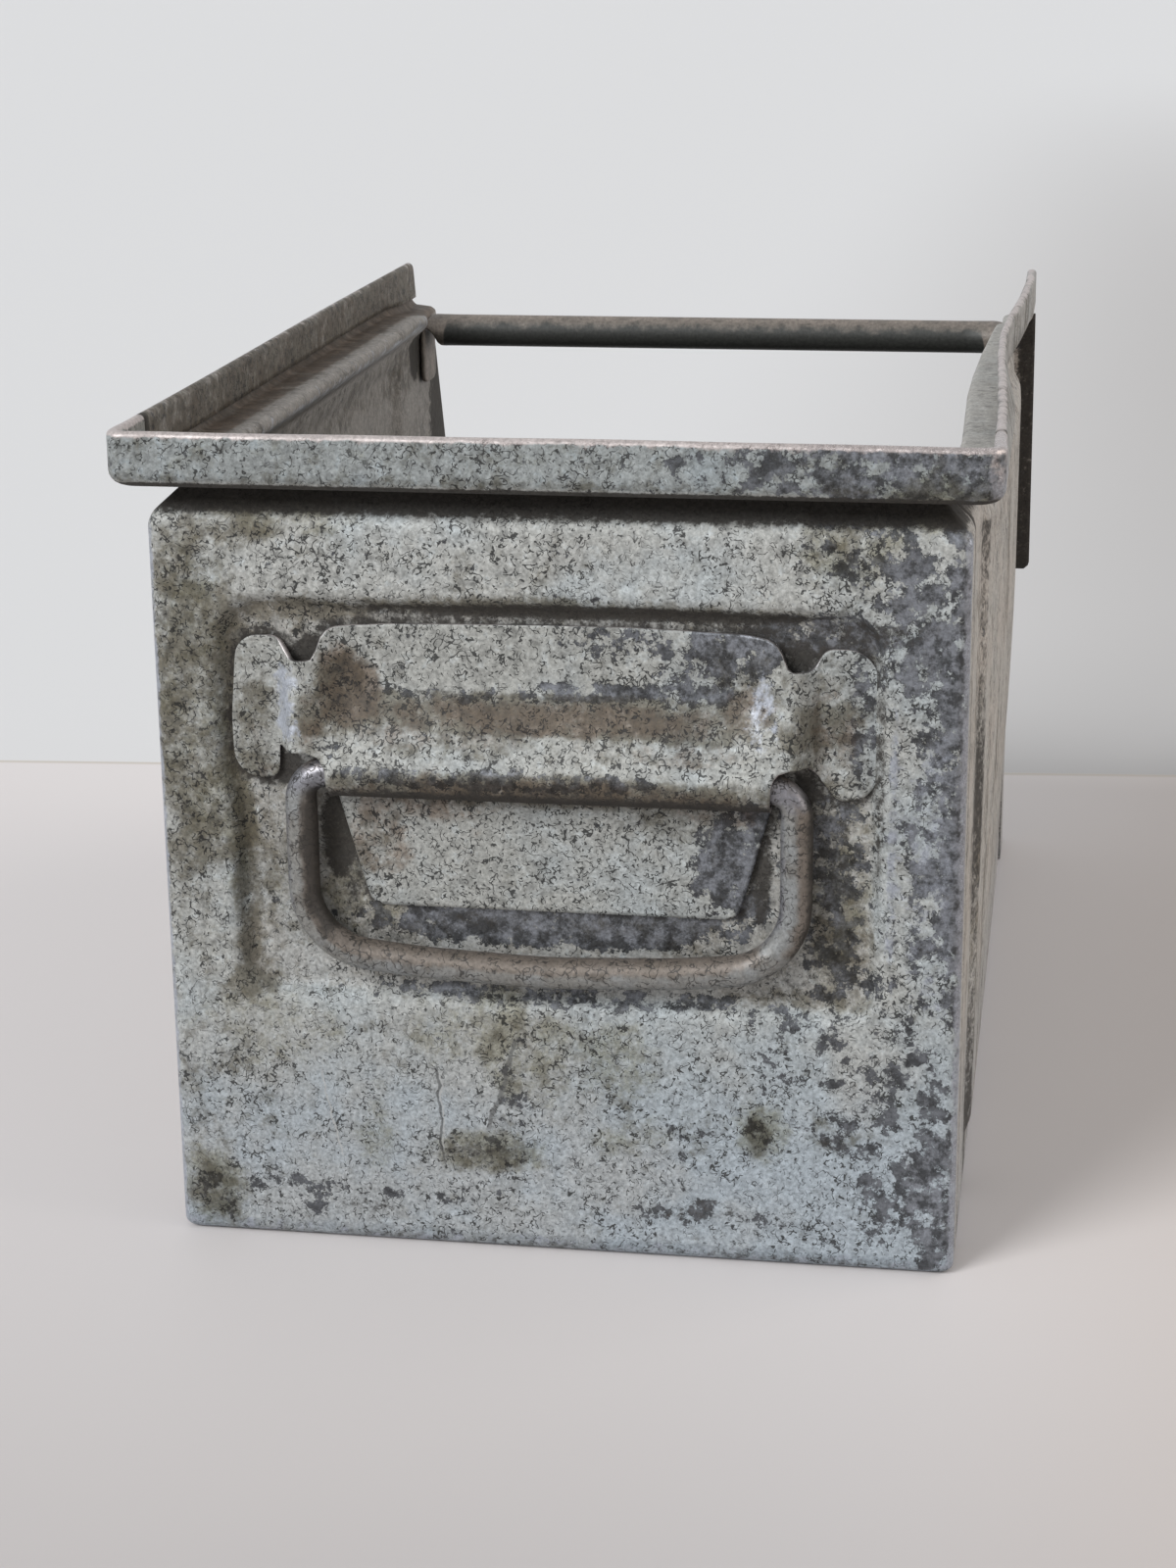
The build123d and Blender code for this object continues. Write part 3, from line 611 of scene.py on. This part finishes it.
for wall in (left_side_wall, right_side_wall):
    x, y, z = places(wall)
    on_left = x[0] < 0
    rim_inner = smooth(100.6 - np.abs(x), 0.0, 1.0) * (z > 189.0) * (np.abs(x) > 96.0)
    ledge = smooth(z, 182.5, 184.0) * smooth(191.5 - z, 0.0, 3.0) * smooth(np.abs(x), 90.5, 93.0)
    bead = np.exp(-(((z - 184.0) / 3.2) ** 2)) * smooth(92.5 - np.abs(x), 0.0, 1.5)
    wing = smooth(np.abs(x), 95.8, 97.2) * (z > 93.0) * (z < 186.0) * (y > slant(z) - 4.5) * (x > 0)
    by_field = smooth(4.0 - np.abs(inside(y, z, *SIDE_FIELD)), 0.0, 3.5) * (z < 178.0)
    old_stain = np.exp(-(((y + 116.0) / 9.0) ** 2)) * (z < 172.0) * (x > 0)
    under_neck = smooth(z, 160.0, 168.0) * smooth(178.0 - z, 0.0, 2.0)
    # Painted shade with dirt: the near-black in the neck under the rim, on the right flange seen from behind and on the
    # left rim's inner face, and on the left wall's inner face the dark line under the bead and the darker band under
    # the neck. The bright bead on that face is a painted highlight. The right wall's inner face is darker towards the
    # bottom.
    mark(
        wall,
        bare=0.12 + 0.3 * smooth(y, 120.0, 170.0),
        grime=0.15 + rim_inner * ((0.75 if on_left else 0.2) + 0.3 * smooth(194.0 - z, 0.0, 4.0)),
        soot=0.3 * rim_inner * on_left
        + 0.6 * in_neck(z, 177.0, 181.0) * (np.abs(x) < 97.0)
        + np.maximum.reduce([
            0.8 * wing,
            0.5 * by_field * (0.7 + 0.3 * np.sin(z / 11.0) * np.sin(y / 17.0)),
            0.75 * old_stain * (0.75 + 0.25 * np.sin(z / 13.0)),
            0.6 * smooth(-y, 147.5, 150.5),
        ]),
        film=(0.6 if on_left else 0.15) * rim_inner,
        worn=np.maximum(smooth(4.5 - z, 0.0, 2.5), (0.35 if on_left else 0.75) * smooth(z, 198.4, 199.6)),
        grime_in=0.2 + 0.6 * ledge + 0.3 * under_neck if on_left else 0.8 * smooth(172.0 - z, 0.0, 12.0),
        soot_in=spots(y, z, DARK_PATCHES_INSIDE_SIDE) + 0.35 * np.exp(-(((z - 177.0) / 1.2) ** 2)),
        film_in=0.95 * ledge * on_left,
        worn_in=0.55 * bead * on_left,
    )
x, y, z = places(handle_plate)
# fold and nose: darker bands on the slope and on the nose; under_nose: painted shade under the nose; left_crest: a
# painted highlight down the left crest's lit flank
fold = smooth(z, 128.0, 130.5) * smooth(141.0 - z, 0.0, 3.0)
nose = smooth(PIVOT_Z + 3.0 - z, 0.0, 3.0) * smooth(z - PIVOT_Z + 8.0, 0.0, 2.0)
under_nose = smooth(PIVOT_Z - 1.5 - z, 0.0, 3.0) * smooth(z, PIVOT_Z - 6.8, PIVOT_Z - 5.0)
left_crest = np.exp(-(((x + 62.6) / 3.8) ** 2)) * smooth(z, 124.0, 130.0) * smooth(149.0 - z, 0.0, 8.0)
mark(
    handle_plate,
    bare=spots(x, z, BARE_ON_PLATE),
    grime=spots(x, z, GRIME_AND_SHADE_ON_PLATE) + 0.35 * fold + 0.45 * nose,
    soot=0.9 * under_nose + spots(x, z, SOOT_AND_SHADE_ON_PLATE),
    film=spots(x, z, FILM_ON_PLATE),
    worn=0.8 * left_crest + spots(x, z, WEAR_AND_HIGHLIGHT_ON_PLATE),
)
x, y, z = places(bail)
near = line[np.hypot(x[:, None] - line[:, 0], z[:, None] - line[:, 2]).argmin(1)]
to_right, to_top = (x - near[:, 0]) / WIRE, (z - near[:, 2]) / WIRE
elbows = np.exp(-(((z - PIVOT_Z + 1.0) / 5.0) ** 2))
left_leg = smooth(-x, 50.0, 55.0)
# The bail's marks follow which way its surface faces: brown towards the right and up is a painted warm reflection, the
# dark to the right, below and on the left leg's inner side is painted shade, and the bluish band down the legs' left
# side is a painted highlight. The elbows are bluish with wear.
mark(
    bail,
    worn=np.maximum(0.8 * elbows, 0.6 * smooth(-to_right, 0.25, 0.85) * (z > 78.0)),
    rust=smooth((to_right + to_top) * 0.75, -0.3, 0.45),
    soot=0.85 * smooth(to_right, 0.3, 0.95)
    + 0.6 * smooth(-to_top, 0.7, 0.98)
    + 0.75 * left_leg * smooth(to_right, -0.4, 0.5),
)

# ---------------------------------------------------------------- finishes


class Socket:
    """A node's output. Arithmetic with other outputs and numbers adds Math nodes."""

    def __init__(self, finish, link):
        self.finish, self.link = finish, link

    def math(self, operation, first, second=0.0):
        return self.finish.node("ShaderNodeMath", {"operation": operation}, {0: first, 1: second})

    def __add__(self, other):
        return self.math("ADD", self, other)

    def __sub__(self, other):
        return self.math("SUBTRACT", self, other)

    def __rsub__(self, other):
        return self.math("SUBTRACT", other, self)

    def __mul__(self, other):
        return self.math("MULTIPLY", self, other)

    def __abs__(self):
        return self.math("ABSOLUTE", self)

    __radd__, __rmul__ = __add__, __mul__


class Nodes:
    """Adds nodes to a tree."""

    def __init__(self, tree):
        self.tree = tree

    def node(self, kind, settings={}, sockets={}, output=0):
        """Add a node: its settings first, then the values or links of its sockets."""
        node = self.tree.nodes.new(kind)
        for name, value in settings.items():
            setattr(node, name, value)
        for key, value in sockets.items():
            if isinstance(value, Socket):
                self.tree.links.new(value.link, node.inputs[key])
            else:
                node.inputs[key].default_value = value
        return Socket(self, node.outputs[output])


class Finish(Nodes):
    """A material. Its patterns are in millimetres of the object's own space."""

    def __init__(self, name):
        self.material = bpy.data.materials.new(name)
        self.material.use_nodes = True
        super().__init__(self.material.node_tree)
        spot = self.node("ShaderNodeTexCoord", output="Object")
        self.place = self.node("ShaderNodeVectorMath", {"operation": "SCALE"}, {0: spot, "Scale": 1000.0})
        split = self.node("ShaderNodeSeparateXYZ", {}, {0: self.place}).link.node
        self.x, self.y, self.z = (Socket(self, output) for output in split.outputs)

    def noise(self, size, detail=2.0, rough=0.5, seed=0.0, stretch=(1.0, 1.0, 1.0), distortion=0.0):
        """Noise between 0 and 1, mostly near 0.5, whose lumps are about size millimetres."""
        scale = tuple(1 / (size * long) for long in stretch)
        sockets = {0: self.place, 1: scale, 2: (seed, seed * 0.7, -seed)}
        place = self.node("ShaderNodeVectorMath", {"operation": "MULTIPLY_ADD"}, sockets)
        sockets = {"Vector": place, "Scale": 1.0, "Detail": detail, "Roughness": rough, "Distortion": distortion}
        return self.node("ShaderNodeTexNoise", {}, sockets)

    def step(self, value, low, high):
        """0 below low, 1 above high, and a smooth rise between them."""
        settings = {"interpolation_type": "SMOOTHSTEP"}
        return self.node("ShaderNodeMapRange", settings, {0: value, 1: low, 2: high})

    def band(self, value, rise, fall):
        """Rises from 0 to 1 between the first two values, and falls back to 0 between the other two."""
        return self.step(value, *rise) * (1 - self.step(value, *fall))

    def contour(self, noise, near, far):
        """Thin lines where a noise crosses 0.5: 1 within near of it and 0 beyond far."""
        return 1 - self.step(abs(noise - 0.5), near, far)

    def marked(self, name, noise, spread, low, high):
        """0 below low and 1 above high, for an amount kept at the points plus a noise of a given spread."""
        return self.step(self.amount(name) + (noise - 0.5) * spread, low, high)

    def mix(self, factor, first, second, blend="MIX"):
        """One colour changed to another by a factor."""
        first, second = ((*c, 1.0) if isinstance(c, tuple) else c for c in (first, second))
        settings = {"data_type": "RGBA", "blend_type": blend}
        return self.node("ShaderNodeMix", settings, {0: factor, 6: first, 7: second}, output=2)

    def shade(self, colour, factor):
        """A colour times a number."""
        return self.node("ShaderNodeVectorMath", {"operation": "SCALE"}, {0: colour, "Scale": factor})

    def amount(self, name):
        """A number kept at the piece's points, or 0 where there is none."""
        return self.node("ShaderNodeAttribute", {"attribute_name": name}, output="Fac")

    def finished(self, height, **sockets):
        """Set the shader's sockets, with a bump whose height is in millimetres."""
        shader = self.tree.nodes["Principled BSDF"]
        normal = self.node("ShaderNodeBump", {}, {"Strength": 1.0, "Distance": 0.001, "Height": height})
        for name, value in {"Normal": normal, **sockets}.items():
            socket = shader.inputs[name.replace("_", " ")]
            if isinstance(value, Socket):
                self.tree.links.new(value.link, socket)
            else:
                socket.default_value = value
        return self.material


# Colours that several finishes share
CRACK = (0.022, 0.023, 0.022)
DARK_STEEL, BRIGHT_STEEL = (0.042, 0.0435, 0.047), (0.205, 0.215, 0.238)
# Brown for dirt and painted shade, and a brown film for dust
BROWN_DIRT_AND_SHADE, BROWN_FILM = (0.35, 0.315, 0.25), (0.66, 0.63, 0.53)
# A bluish colour for wear and painted highlights, and a pinkish one for the wear on the rim's top
RUB_AND_HIGHLIGHT, RUBBED_RIM = (0.32, 0.34, 0.385), (0.50, 0.44, 0.42)
# Near-black for dirt and painted shade, dense and thin
SOOT_AND_SHADE, THIN_SOOT_AND_SHADE = (0.010, 0.009, 0.007), (0.05, 0.043, 0.036)
FOOT_TINT, RIM_TINT, STRIP_TINT = (0.91, 0.935, 0.99), (0.76, 0.80, 0.835), (0.78, 0.79, 0.80)
TURNED = (0.38, 0.355, 0.32)  # zinc on the faces that turn to the sides, warmer: a painted warm reflection of the room

# Heights between which the zinc's tone changes
STRIP, FOOT, MIDDLE = (3.0, 5.0), (20.0, 75.0), (45.0, 85.0)
NEAR_NECK, NEAR_RIM, RIM_FACE, RIM_TOP = (148.0, 162.0), (180.0, 188.0), (188.2, 189.5), (188.0, 199.0)


def scratched(f, colour, scratches):
    """Thin scratches, each a narrow band of a slanted line x = a + b * z between two heights."""
    wave = (f.noise(9.0, 3.0, 0.6, 31.0) - 0.5) * 5.0
    for a, b, low, high, wide, tone in scratches:
        along = f.band(f.z, (low, low + 4.0), (high - 4.0, high))
        mask = (1 - f.step(abs(f.x - f.z * b - a + wave), wide * 0.4, wide)) * along
        colour = f.mix(mask * 0.7, colour, (tone, tone, tone * 0.97))
    return colour


def patina(f, cool, warm, turned, cloud, grain, fine, dense):
    """Zinc without its wear: cool and warm areas with a darker and a lighter grain, calmer towards the foot.

    The faces that turn to the sides can take a colour of their own, a painted warm reflection, and then a band under
    the neck is painted lighter. The foot is bluer, and the rim and the lowest strip are darker.
    """
    colour = f.mix(f.step(cloud - f.x * 0.0007 + f.z * 0.001, 0.40, 0.70), cool, warm)
    if turned:
        # warmer on the faces that turn to the sides, a painted warm reflection, and a band under the neck painted
        # lighter
        colour = f.mix(f.band(f.y, (-166.5, -162.0), (167.0, 171.0)), colour, turned)
        colour = f.shade(colour, f.band(f.z, NEAR_NECK, NEAR_RIM) * 0.12 + 1.0)
    lively = 0.45 + f.step(f.z, *MIDDLE) * 0.4
    darker, lighter = tuple(0.42 * c for c in warm), tuple(1.35 * c for c in cool)
    colour = f.mix(f.step(grain, 0.46, 0.66) * (0.35 + dense * 0.45) * lively, colour, darker)
    colour = f.mix(f.step(grain, 0.46, 0.3) * 0.6 * lively, colour, lighter)
    colour = f.mix(1 - f.step(f.z, *FOOT), colour, FOOT_TINT, "MULTIPLY")
    colour = f.shade(colour, 0.1 + fine * 1.8)
    colour = f.mix(f.step(f.z, *RIM_FACE), colour, RIM_TINT, "MULTIPLY")
    return f.mix(1 - f.step(f.z, *STRIP), colour, STRIP_TINT, "MULTIPLY")


def short_cracks(f, seed, ragged, dense, flecks):
    """Short dark cracks: thin contours of two noises, each kept only where another noise is high."""
    worm = f.noise(2.5, 1.5, 0.5, seed + 2, distortion=0.4)
    worm_small = f.noise(1.5, 1.0, 0.5, seed + 6, distortion=0.3)
    gate = f.step(f.noise(2.8, 2.0, 0.5, seed + 4) + ragged * 0.5, 0.75, 0.81)
    gate_small = f.step(f.noise(1.6, 1.0, 0.5, seed + 8) + ragged * 0.4, 0.685, 0.75)
    lines = f.contour(worm, 0.010, 0.036) * gate + f.contour(worm_small, 0.014, 0.044) * gate_small
    return f.step(lines * (0.55 + dense * 0.45) * flecks, 0.25, 0.75)


def galvanised(name, cool, warm, flecks=1.0, flaking=0.0, seed=0.0, side="", turned=None, reflected_streaks=0.0,
               film=BROWN_FILM, rub_and_highlight=RUB_AND_HIGHLIGHT, scratches=()):
    """Old zinc: pale mottled patina with short dark cracks, flaked patches of bare steel, brown dirt and near-black
    dirt.

    The patches are where a ragged noise plus the marked amount passes a threshold. Dirt, brown film, wear and
    near-black dirt get ragged edges the same way. The brown and near-black marks also carry painted shade, and the
    marks of wear painted highlights. side is the ending of the marks that the finish reads.
    """
    f = Finish(name)
    fine, grain = f.noise(0.9, 3.0, 0.65, seed), f.noise(3.2, 4.0, 0.65, seed + 5)
    cloud, ragged = f.noise(24.0, 4.0, 0.6, seed + 9), f.noise(4.6, 8.0, 0.72, seed + 3)
    field = f.noise(15.0, 4.0, 0.6, seed + 15)
    dense = f.step(field, 0.42, 0.6)
    colour = patina(f, cool, warm, turned, cloud, grain, fine, dense)
    cracks = short_cracks(f, seed, ragged, dense, flecks)
    colour = f.mix(cracks * 0.93, colour, CRACK)

    amount = f.amount("bare" + side)
    bare = f.step(ragged + amount * 0.27 + (fine - 0.5) * 0.16 + flaking, 0.64, 0.66)
    light = f.step(f.noise(4.0, 5.0, 0.7, seed + 7), 0.4, 0.6) * (0.3 + f.step(amount, 0.3, 0.75) * 0.7)
    steel = f.mix(light, DARK_STEEL, BRIGHT_STEEL)
    colour = f.mix(bare * 0.95, colour, f.shade(steel, 0.3 + fine * 1.4))

    blotch = (f.noise(4.5, 5.0, 0.72, seed + 11) - 0.5) * 2.8 + (field - 0.5) * 1.2
    # Dark vertical bands on the sides: painted reflections of dark things in the room
    if reflected_streaks:
        run = f.noise(5.0, 3.0, 0.6, seed + 21, stretch=(1.0, 1.0, 11.0))
        blotch = blotch + f.step(run, 0.5, 0.72) * reflected_streaks * f.step(field, 0.4, 0.55)
    # Brown: dirt, and painted shade where the marks put it
    brown = f.step(f.amount("grime" + side) + blotch, 0.15, 1.0)
    colour = f.mix(brown * 0.9, colour, BROWN_DIRT_AND_SHADE, "MULTIPLY")
    filmed = f.marked("film" + side, f.noise(8.0, 7.0, 0.76, seed + 17), 3.0, 0.25, 1.0)
    colour = f.mix(filmed, colour, film, "MULTIPLY")
    # Wear, and painted highlights where the marks put them
    worn = f.marked("worn" + side, f.noise(3.0, 5.0, 0.65, seed + 12), 1.6, 0.34, 0.74)
    bright = f.mix(f.step(f.z, *RIM_TOP), rub_and_highlight, RUBBED_RIM)
    colour = f.mix(worn * 0.85, colour, f.shade(bright, 0.4 + fine * 1.2))
    # Near-black: dirt, and painted shade where the marks put it
    soot = f.marked("soot" + side, f.noise(2.4, 6.0, 0.75, seed + 13), 1.8, 0.25, 0.75)
    colour = f.mix(soot * 0.94, colour, f.shade(f.mix(ragged, SOOT_AND_SHADE, THIN_SOOT_AND_SHADE), 0.2 + fine * 1.5))

    if scratches:
        colour = scratched(f, colour, scratches)
    return f.finished(
        cloud * 1.2 + grain * 0.06 + fine * 0.03 - bare * 0.06 - cracks * 0.05,
        Base_Color=colour,
        Metallic=(0.16 + bare * 0.3 + worn * 0.16) * (1 - soot),
        Roughness=0.58 - bare * 0.14 - worn * 0.17 + soot * 0.25 + (fine - 0.5) * 0.2,
    )


zinc_wall = galvanised(
    "galvanised_wall", (0.35, 0.382, 0.39), (0.362, 0.366, 0.346), turned=TURNED, scratches=SCRATCHES,
)
# The plate's colour for its wear is lighter and bluer: a painted highlight on its crests
zinc_plate = galvanised(
    "galvanised_plate", (0.34, 0.366, 0.368), (0.35, 0.353, 0.33), flecks=1.3, seed=40.0,
    film=(0.62, 0.51, 0.44), rub_and_highlight=(0.44, 0.47, 0.53),
)
# The side walls' outer faces: a warmer copy of the zinc, a painted warm reflection of the room, with dark vertical
# bands that are painted reflections
zinc_side = galvanised(
    "galvanised_side", (0.375, 0.362, 0.335), (0.385, 0.352, 0.315), flecks=0.7, reflected_streaks=1.1, seed=60.0,
    film=(0.68, 0.59, 0.52),
)
# The faces inside the box: a darker copy of the zinc, painted shade; the right wall's inner face, which faces the
# light, takes a lighter copy
zinc_inside_shaded = galvanised(
    "galvanised_inside", (0.21, 0.20, 0.187), (0.24, 0.222, 0.20), flecks=0.4, seed=80.0, side="_in",
    film=(0.66, 0.53, 0.43),
)
zinc_inside_right = galvanised(
    "galvanised_inside_right", (0.35, 0.35, 0.33), (0.37, 0.355, 0.325), flecks=0.3, seed=100.0, side="_in",
)
zinc_front = galvanised(
    "galvanised_front", (0.31, 0.33, 0.33), (0.32, 0.318, 0.295), flecks=0.8, flaking=0.02, seed=120.0,
    turned=TURNED,
)


def cut_edge():
    """The sheets' cut and rubbed edges: bright steel, pinkish grey, a little darker in patches."""
    f = Finish("rubbed_edge")
    fine, lump = f.noise(1.2, 4.0, 0.6), f.noise(7.0, 4.0, 0.6, 3.0)
    colour = f.mix(f.step(lump, 0.4, 0.6), (0.50, 0.46, 0.45), (0.20, 0.19, 0.19))
    return f.finished(fine * 0.03, Base_Color=f.shade(colour, 0.6 + fine * 0.8), Metallic=0.6, Roughness=0.38)


def wire_steel():
    """The bail: grey wire with short dark cracks, brown where it faces right and up, a painted warm reflection, and
    darkest to the right and below, painted shade.

    It is bluish with wear at the elbows, and a painted bluish highlight runs down the left side of its legs.
    """
    f = Finish("bail_steel")
    fine, lump = f.noise(0.9, 4.0, 0.65), f.noise(5.0, 5.0, 0.68, 2.0)
    blotch = f.noise(14.0, 4.0, 0.6, 7.0)
    colour = f.mix(f.step(blotch, 0.38, 0.62), (0.205, 0.20, 0.185), (0.225, 0.232, 0.23))
    rust = f.marked("rust", lump, 1.3, 0.2, 0.85)
    colour = f.mix(rust * 0.82, colour, (0.155, 0.124, 0.099))
    colour = f.mix(f.step(lump, 0.5, 0.64) * 0.5, colour, (0.082, 0.071, 0.058))
    worn = f.marked("worn", lump, 1.2, 0.3, 0.8)
    colour = f.mix(worn * 0.7, colour, (0.25, 0.25, 0.28))
    cracks = f.contour(f.noise(2.0, 1.5, 0.5, 4.0, distortion=0.3), 0.012, 0.04) * f.step(lump, 0.42, 0.5)
    colour = f.mix(cracks * 0.8, f.shade(colour, 0.25 + fine * 1.5), (0.028, 0.026, 0.024))
    soot = f.marked("soot", lump, 1.6, 0.2, 0.95)
    colour = f.mix(soot * 0.85, colour, (0.035, 0.031, 0.027))
    return f.finished(
        lump * 0.12 + fine * 0.03 - cracks * 0.04,
        Base_Color=colour, Metallic=0.3 + worn * 0.3, Roughness=0.47 - worn * 0.15 + (fine - 0.5) * 0.2,
    )


def rod_steel():
    """The carrying rod: brown on top and at its flattened ends, nearly black below: painted shade on its underside."""
    f = Finish("rod_steel")
    fine, lump = f.noise(1.0, 4.0, 0.65), f.noise(7.0, 5.0, 0.68, 2.0)
    # Below this height the rod is nearly black: painted shade on its underside
    above = f.step(f.z + (lump - 0.5) * 9.0 + f.step(abs(f.x), 85.0, 89.0) * 20.0, 180.5, 184.0)
    top = f.mix(f.step(lump, 0.4, 0.62), (0.24, 0.205, 0.175), (0.16, 0.14, 0.12))
    colour = f.mix(above, (0.042, 0.043, 0.039), top)
    colour = f.shade(colour, 0.2 + fine * 1.6)
    return f.finished(lump * 0.1 + fine * 0.04, Base_Color=colour, Metallic=0.25, Roughness=0.55)


edge, bail_steel, rod_finish = cut_edge(), wire_steel(), rod_steel()
for piece, finishes in (
    (rear_wall, (zinc_wall, zinc_inside_shaded, edge)),
    (left_side_wall, (zinc_side, zinc_inside_shaded, edge)),
    (right_side_wall, (zinc_side, zinc_inside_right, edge)),
    (bottom_pan, (zinc_inside_shaded, zinc_inside_shaded, edge)),
    (handle_plate, (zinc_plate, zinc_plate, edge)),
    (bail, (bail_steel,)),
    (rod, (rod_finish,)),
):
    for finish in finishes:
        piece.data.materials.append(finish)
for name in ("front_wall", "card_holder"):
    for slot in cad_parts[name].material_slots:
        slot.material = zinc_front

# ---------------------------------------------------------------- bodies

for piece, body, node, slot in (
    (rear_wall, "shell", "rear_wall", "zinc_sheet"),
    (left_side_wall, "shell", "left_side_wall", "zinc_sheet"),
    (right_side_wall, "shell", "right_side_wall", "zinc_sheet"),
    (bottom_pan, "shell", "bottom_pan", "zinc_sheet"),
    (handle_plate, "shell", "handle_plate", "zinc_plate"),
    (bail, "bail", "bail_handle", "handle_wire"),
    (rod, "shell", "carrying_rod", "rod_tube"),
):
    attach(piece, body)
    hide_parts(node)

# ---------------------------------------------------------------- camera, light and room

# The camera's lens, place and angles were worked out from the box's own edges in the photo
camera_data = bpy.data.cameras.new("camera")
camera_data.sensor_width = 36.0
camera_data.lens = 68.026
camera = bpy.data.objects.new("camera", camera_data)
bpy.context.collection.objects.link(camera)
yaw, pitch, roll = 0.167509, -0.296883, -0.0111571
facing = Matrix(((1, 0, 0), (0, 0, -1), (0, 1, 0)))
turn = Matrix.Rotation(yaw, 3, "Z") @ facing @ Matrix.Rotation(pitch, 3, "X") @ Matrix.Rotation(roll, 3, "Z")
camera.matrix_world = Matrix.Translation((0.117069, -0.811890, 0.318662)) @ turn.to_4x4()
bpy.context.scene.camera = camera
bpy.context.scene.view_settings.view_transform = "Standard"


def room():
    """Floor: a pale counter, and beyond a thin slanting line behind the object a whiter ground.

    Both are darker to the right: painted shade, with the object's painted shadow on the counter. The counter is also
    darker towards the front.
    """
    f = Finish("counter")
    past = f.y - f.x * 0.0855
    beyond = f.step(past, 241.0, 242.5)
    seam = f.step(past, 237.5, 240.5) * (1 - beyond)
    counter = f.mix(f.step(f.y, -420.0, -120.0), (0.475, 0.45, 0.44), (0.70, 0.665, 0.655))
    # The object's painted shadow on the counter to its right
    counter = f.mix(f.step(f.x, 60.0, 240.0) * 0.75, counter, (0.53, 0.455, 0.405))
    # painted shade on the far ground to the right
    shade_to_right = f.step(f.x, -160.0, 260.0) * (1 - f.step(f.y, 900.0, 4500.0))
    ground = f.mix(shade_to_right, (0.68, 0.68, 0.68), (0.46, 0.445, 0.435))
    colour = f.mix(seam * 0.6, counter, (0.46, 0.41, 0.33))
    return f.finished(f.noise(0.6) * 0.01, Base_Color=f.mix(beyond, colour, ground), Roughness=0.6)


FLOOR_REACH, FLOOR_LEVEL = 12000, -0.2
x, y = np.meshgrid(np.linspace(-FLOOR_REACH, FLOOR_REACH, 3), np.linspace(-FLOOR_REACH, FLOOR_REACH, 3))
floor = grid_mesh("floor", [np.stack([x, y, 0 * x + FLOOR_LEVEL], -1)])
floor.data.materials.append(room())

world = bpy.data.worlds.new("world")
bpy.context.scene.world = world
world.use_nodes = True
sky = world.node_tree.nodes["Background"]
sky.inputs["Color"].default_value = (0.95, 0.97, 1.0, 1)
# The world is a little brighter where it is seen, directly or mirrored, than where it lights surfaces
seen = Nodes(world.node_tree)
camera_ray, glossy_ray, transmission_ray = (
    seen.node("ShaderNodeLightPath", output=ray) for ray in ("Is Camera Ray", "Is Glossy Ray", "Is Transmission Ray")
)
strength = (camera_ray + glossy_ray + transmission_ray) * 0.2 + 0.52
world.node_tree.links.new(strength.link, sky.inputs["Strength"])


def soft_sun(name, toward, angle, power, colour):
    """An even, soft light that comes from a direction."""
    data = bpy.data.lights.new(name, "SUN")
    data.angle, data.energy, data.color = angle, power, colour
    light = bpy.data.objects.new(name, data)
    bpy.context.collection.objects.link(light)
    light.rotation_euler = Vector(toward).to_track_quat("Z", "Y").to_euler()


soft_sun("window", (-1.0, -1.2, 1.05), 0.5, 2.45, (0.97, 0.98, 1.0))
soft_sun("bounce", (1.0, 0.2, 0.35), 1.0, 1.2, (1.0, 0.93, 0.86))
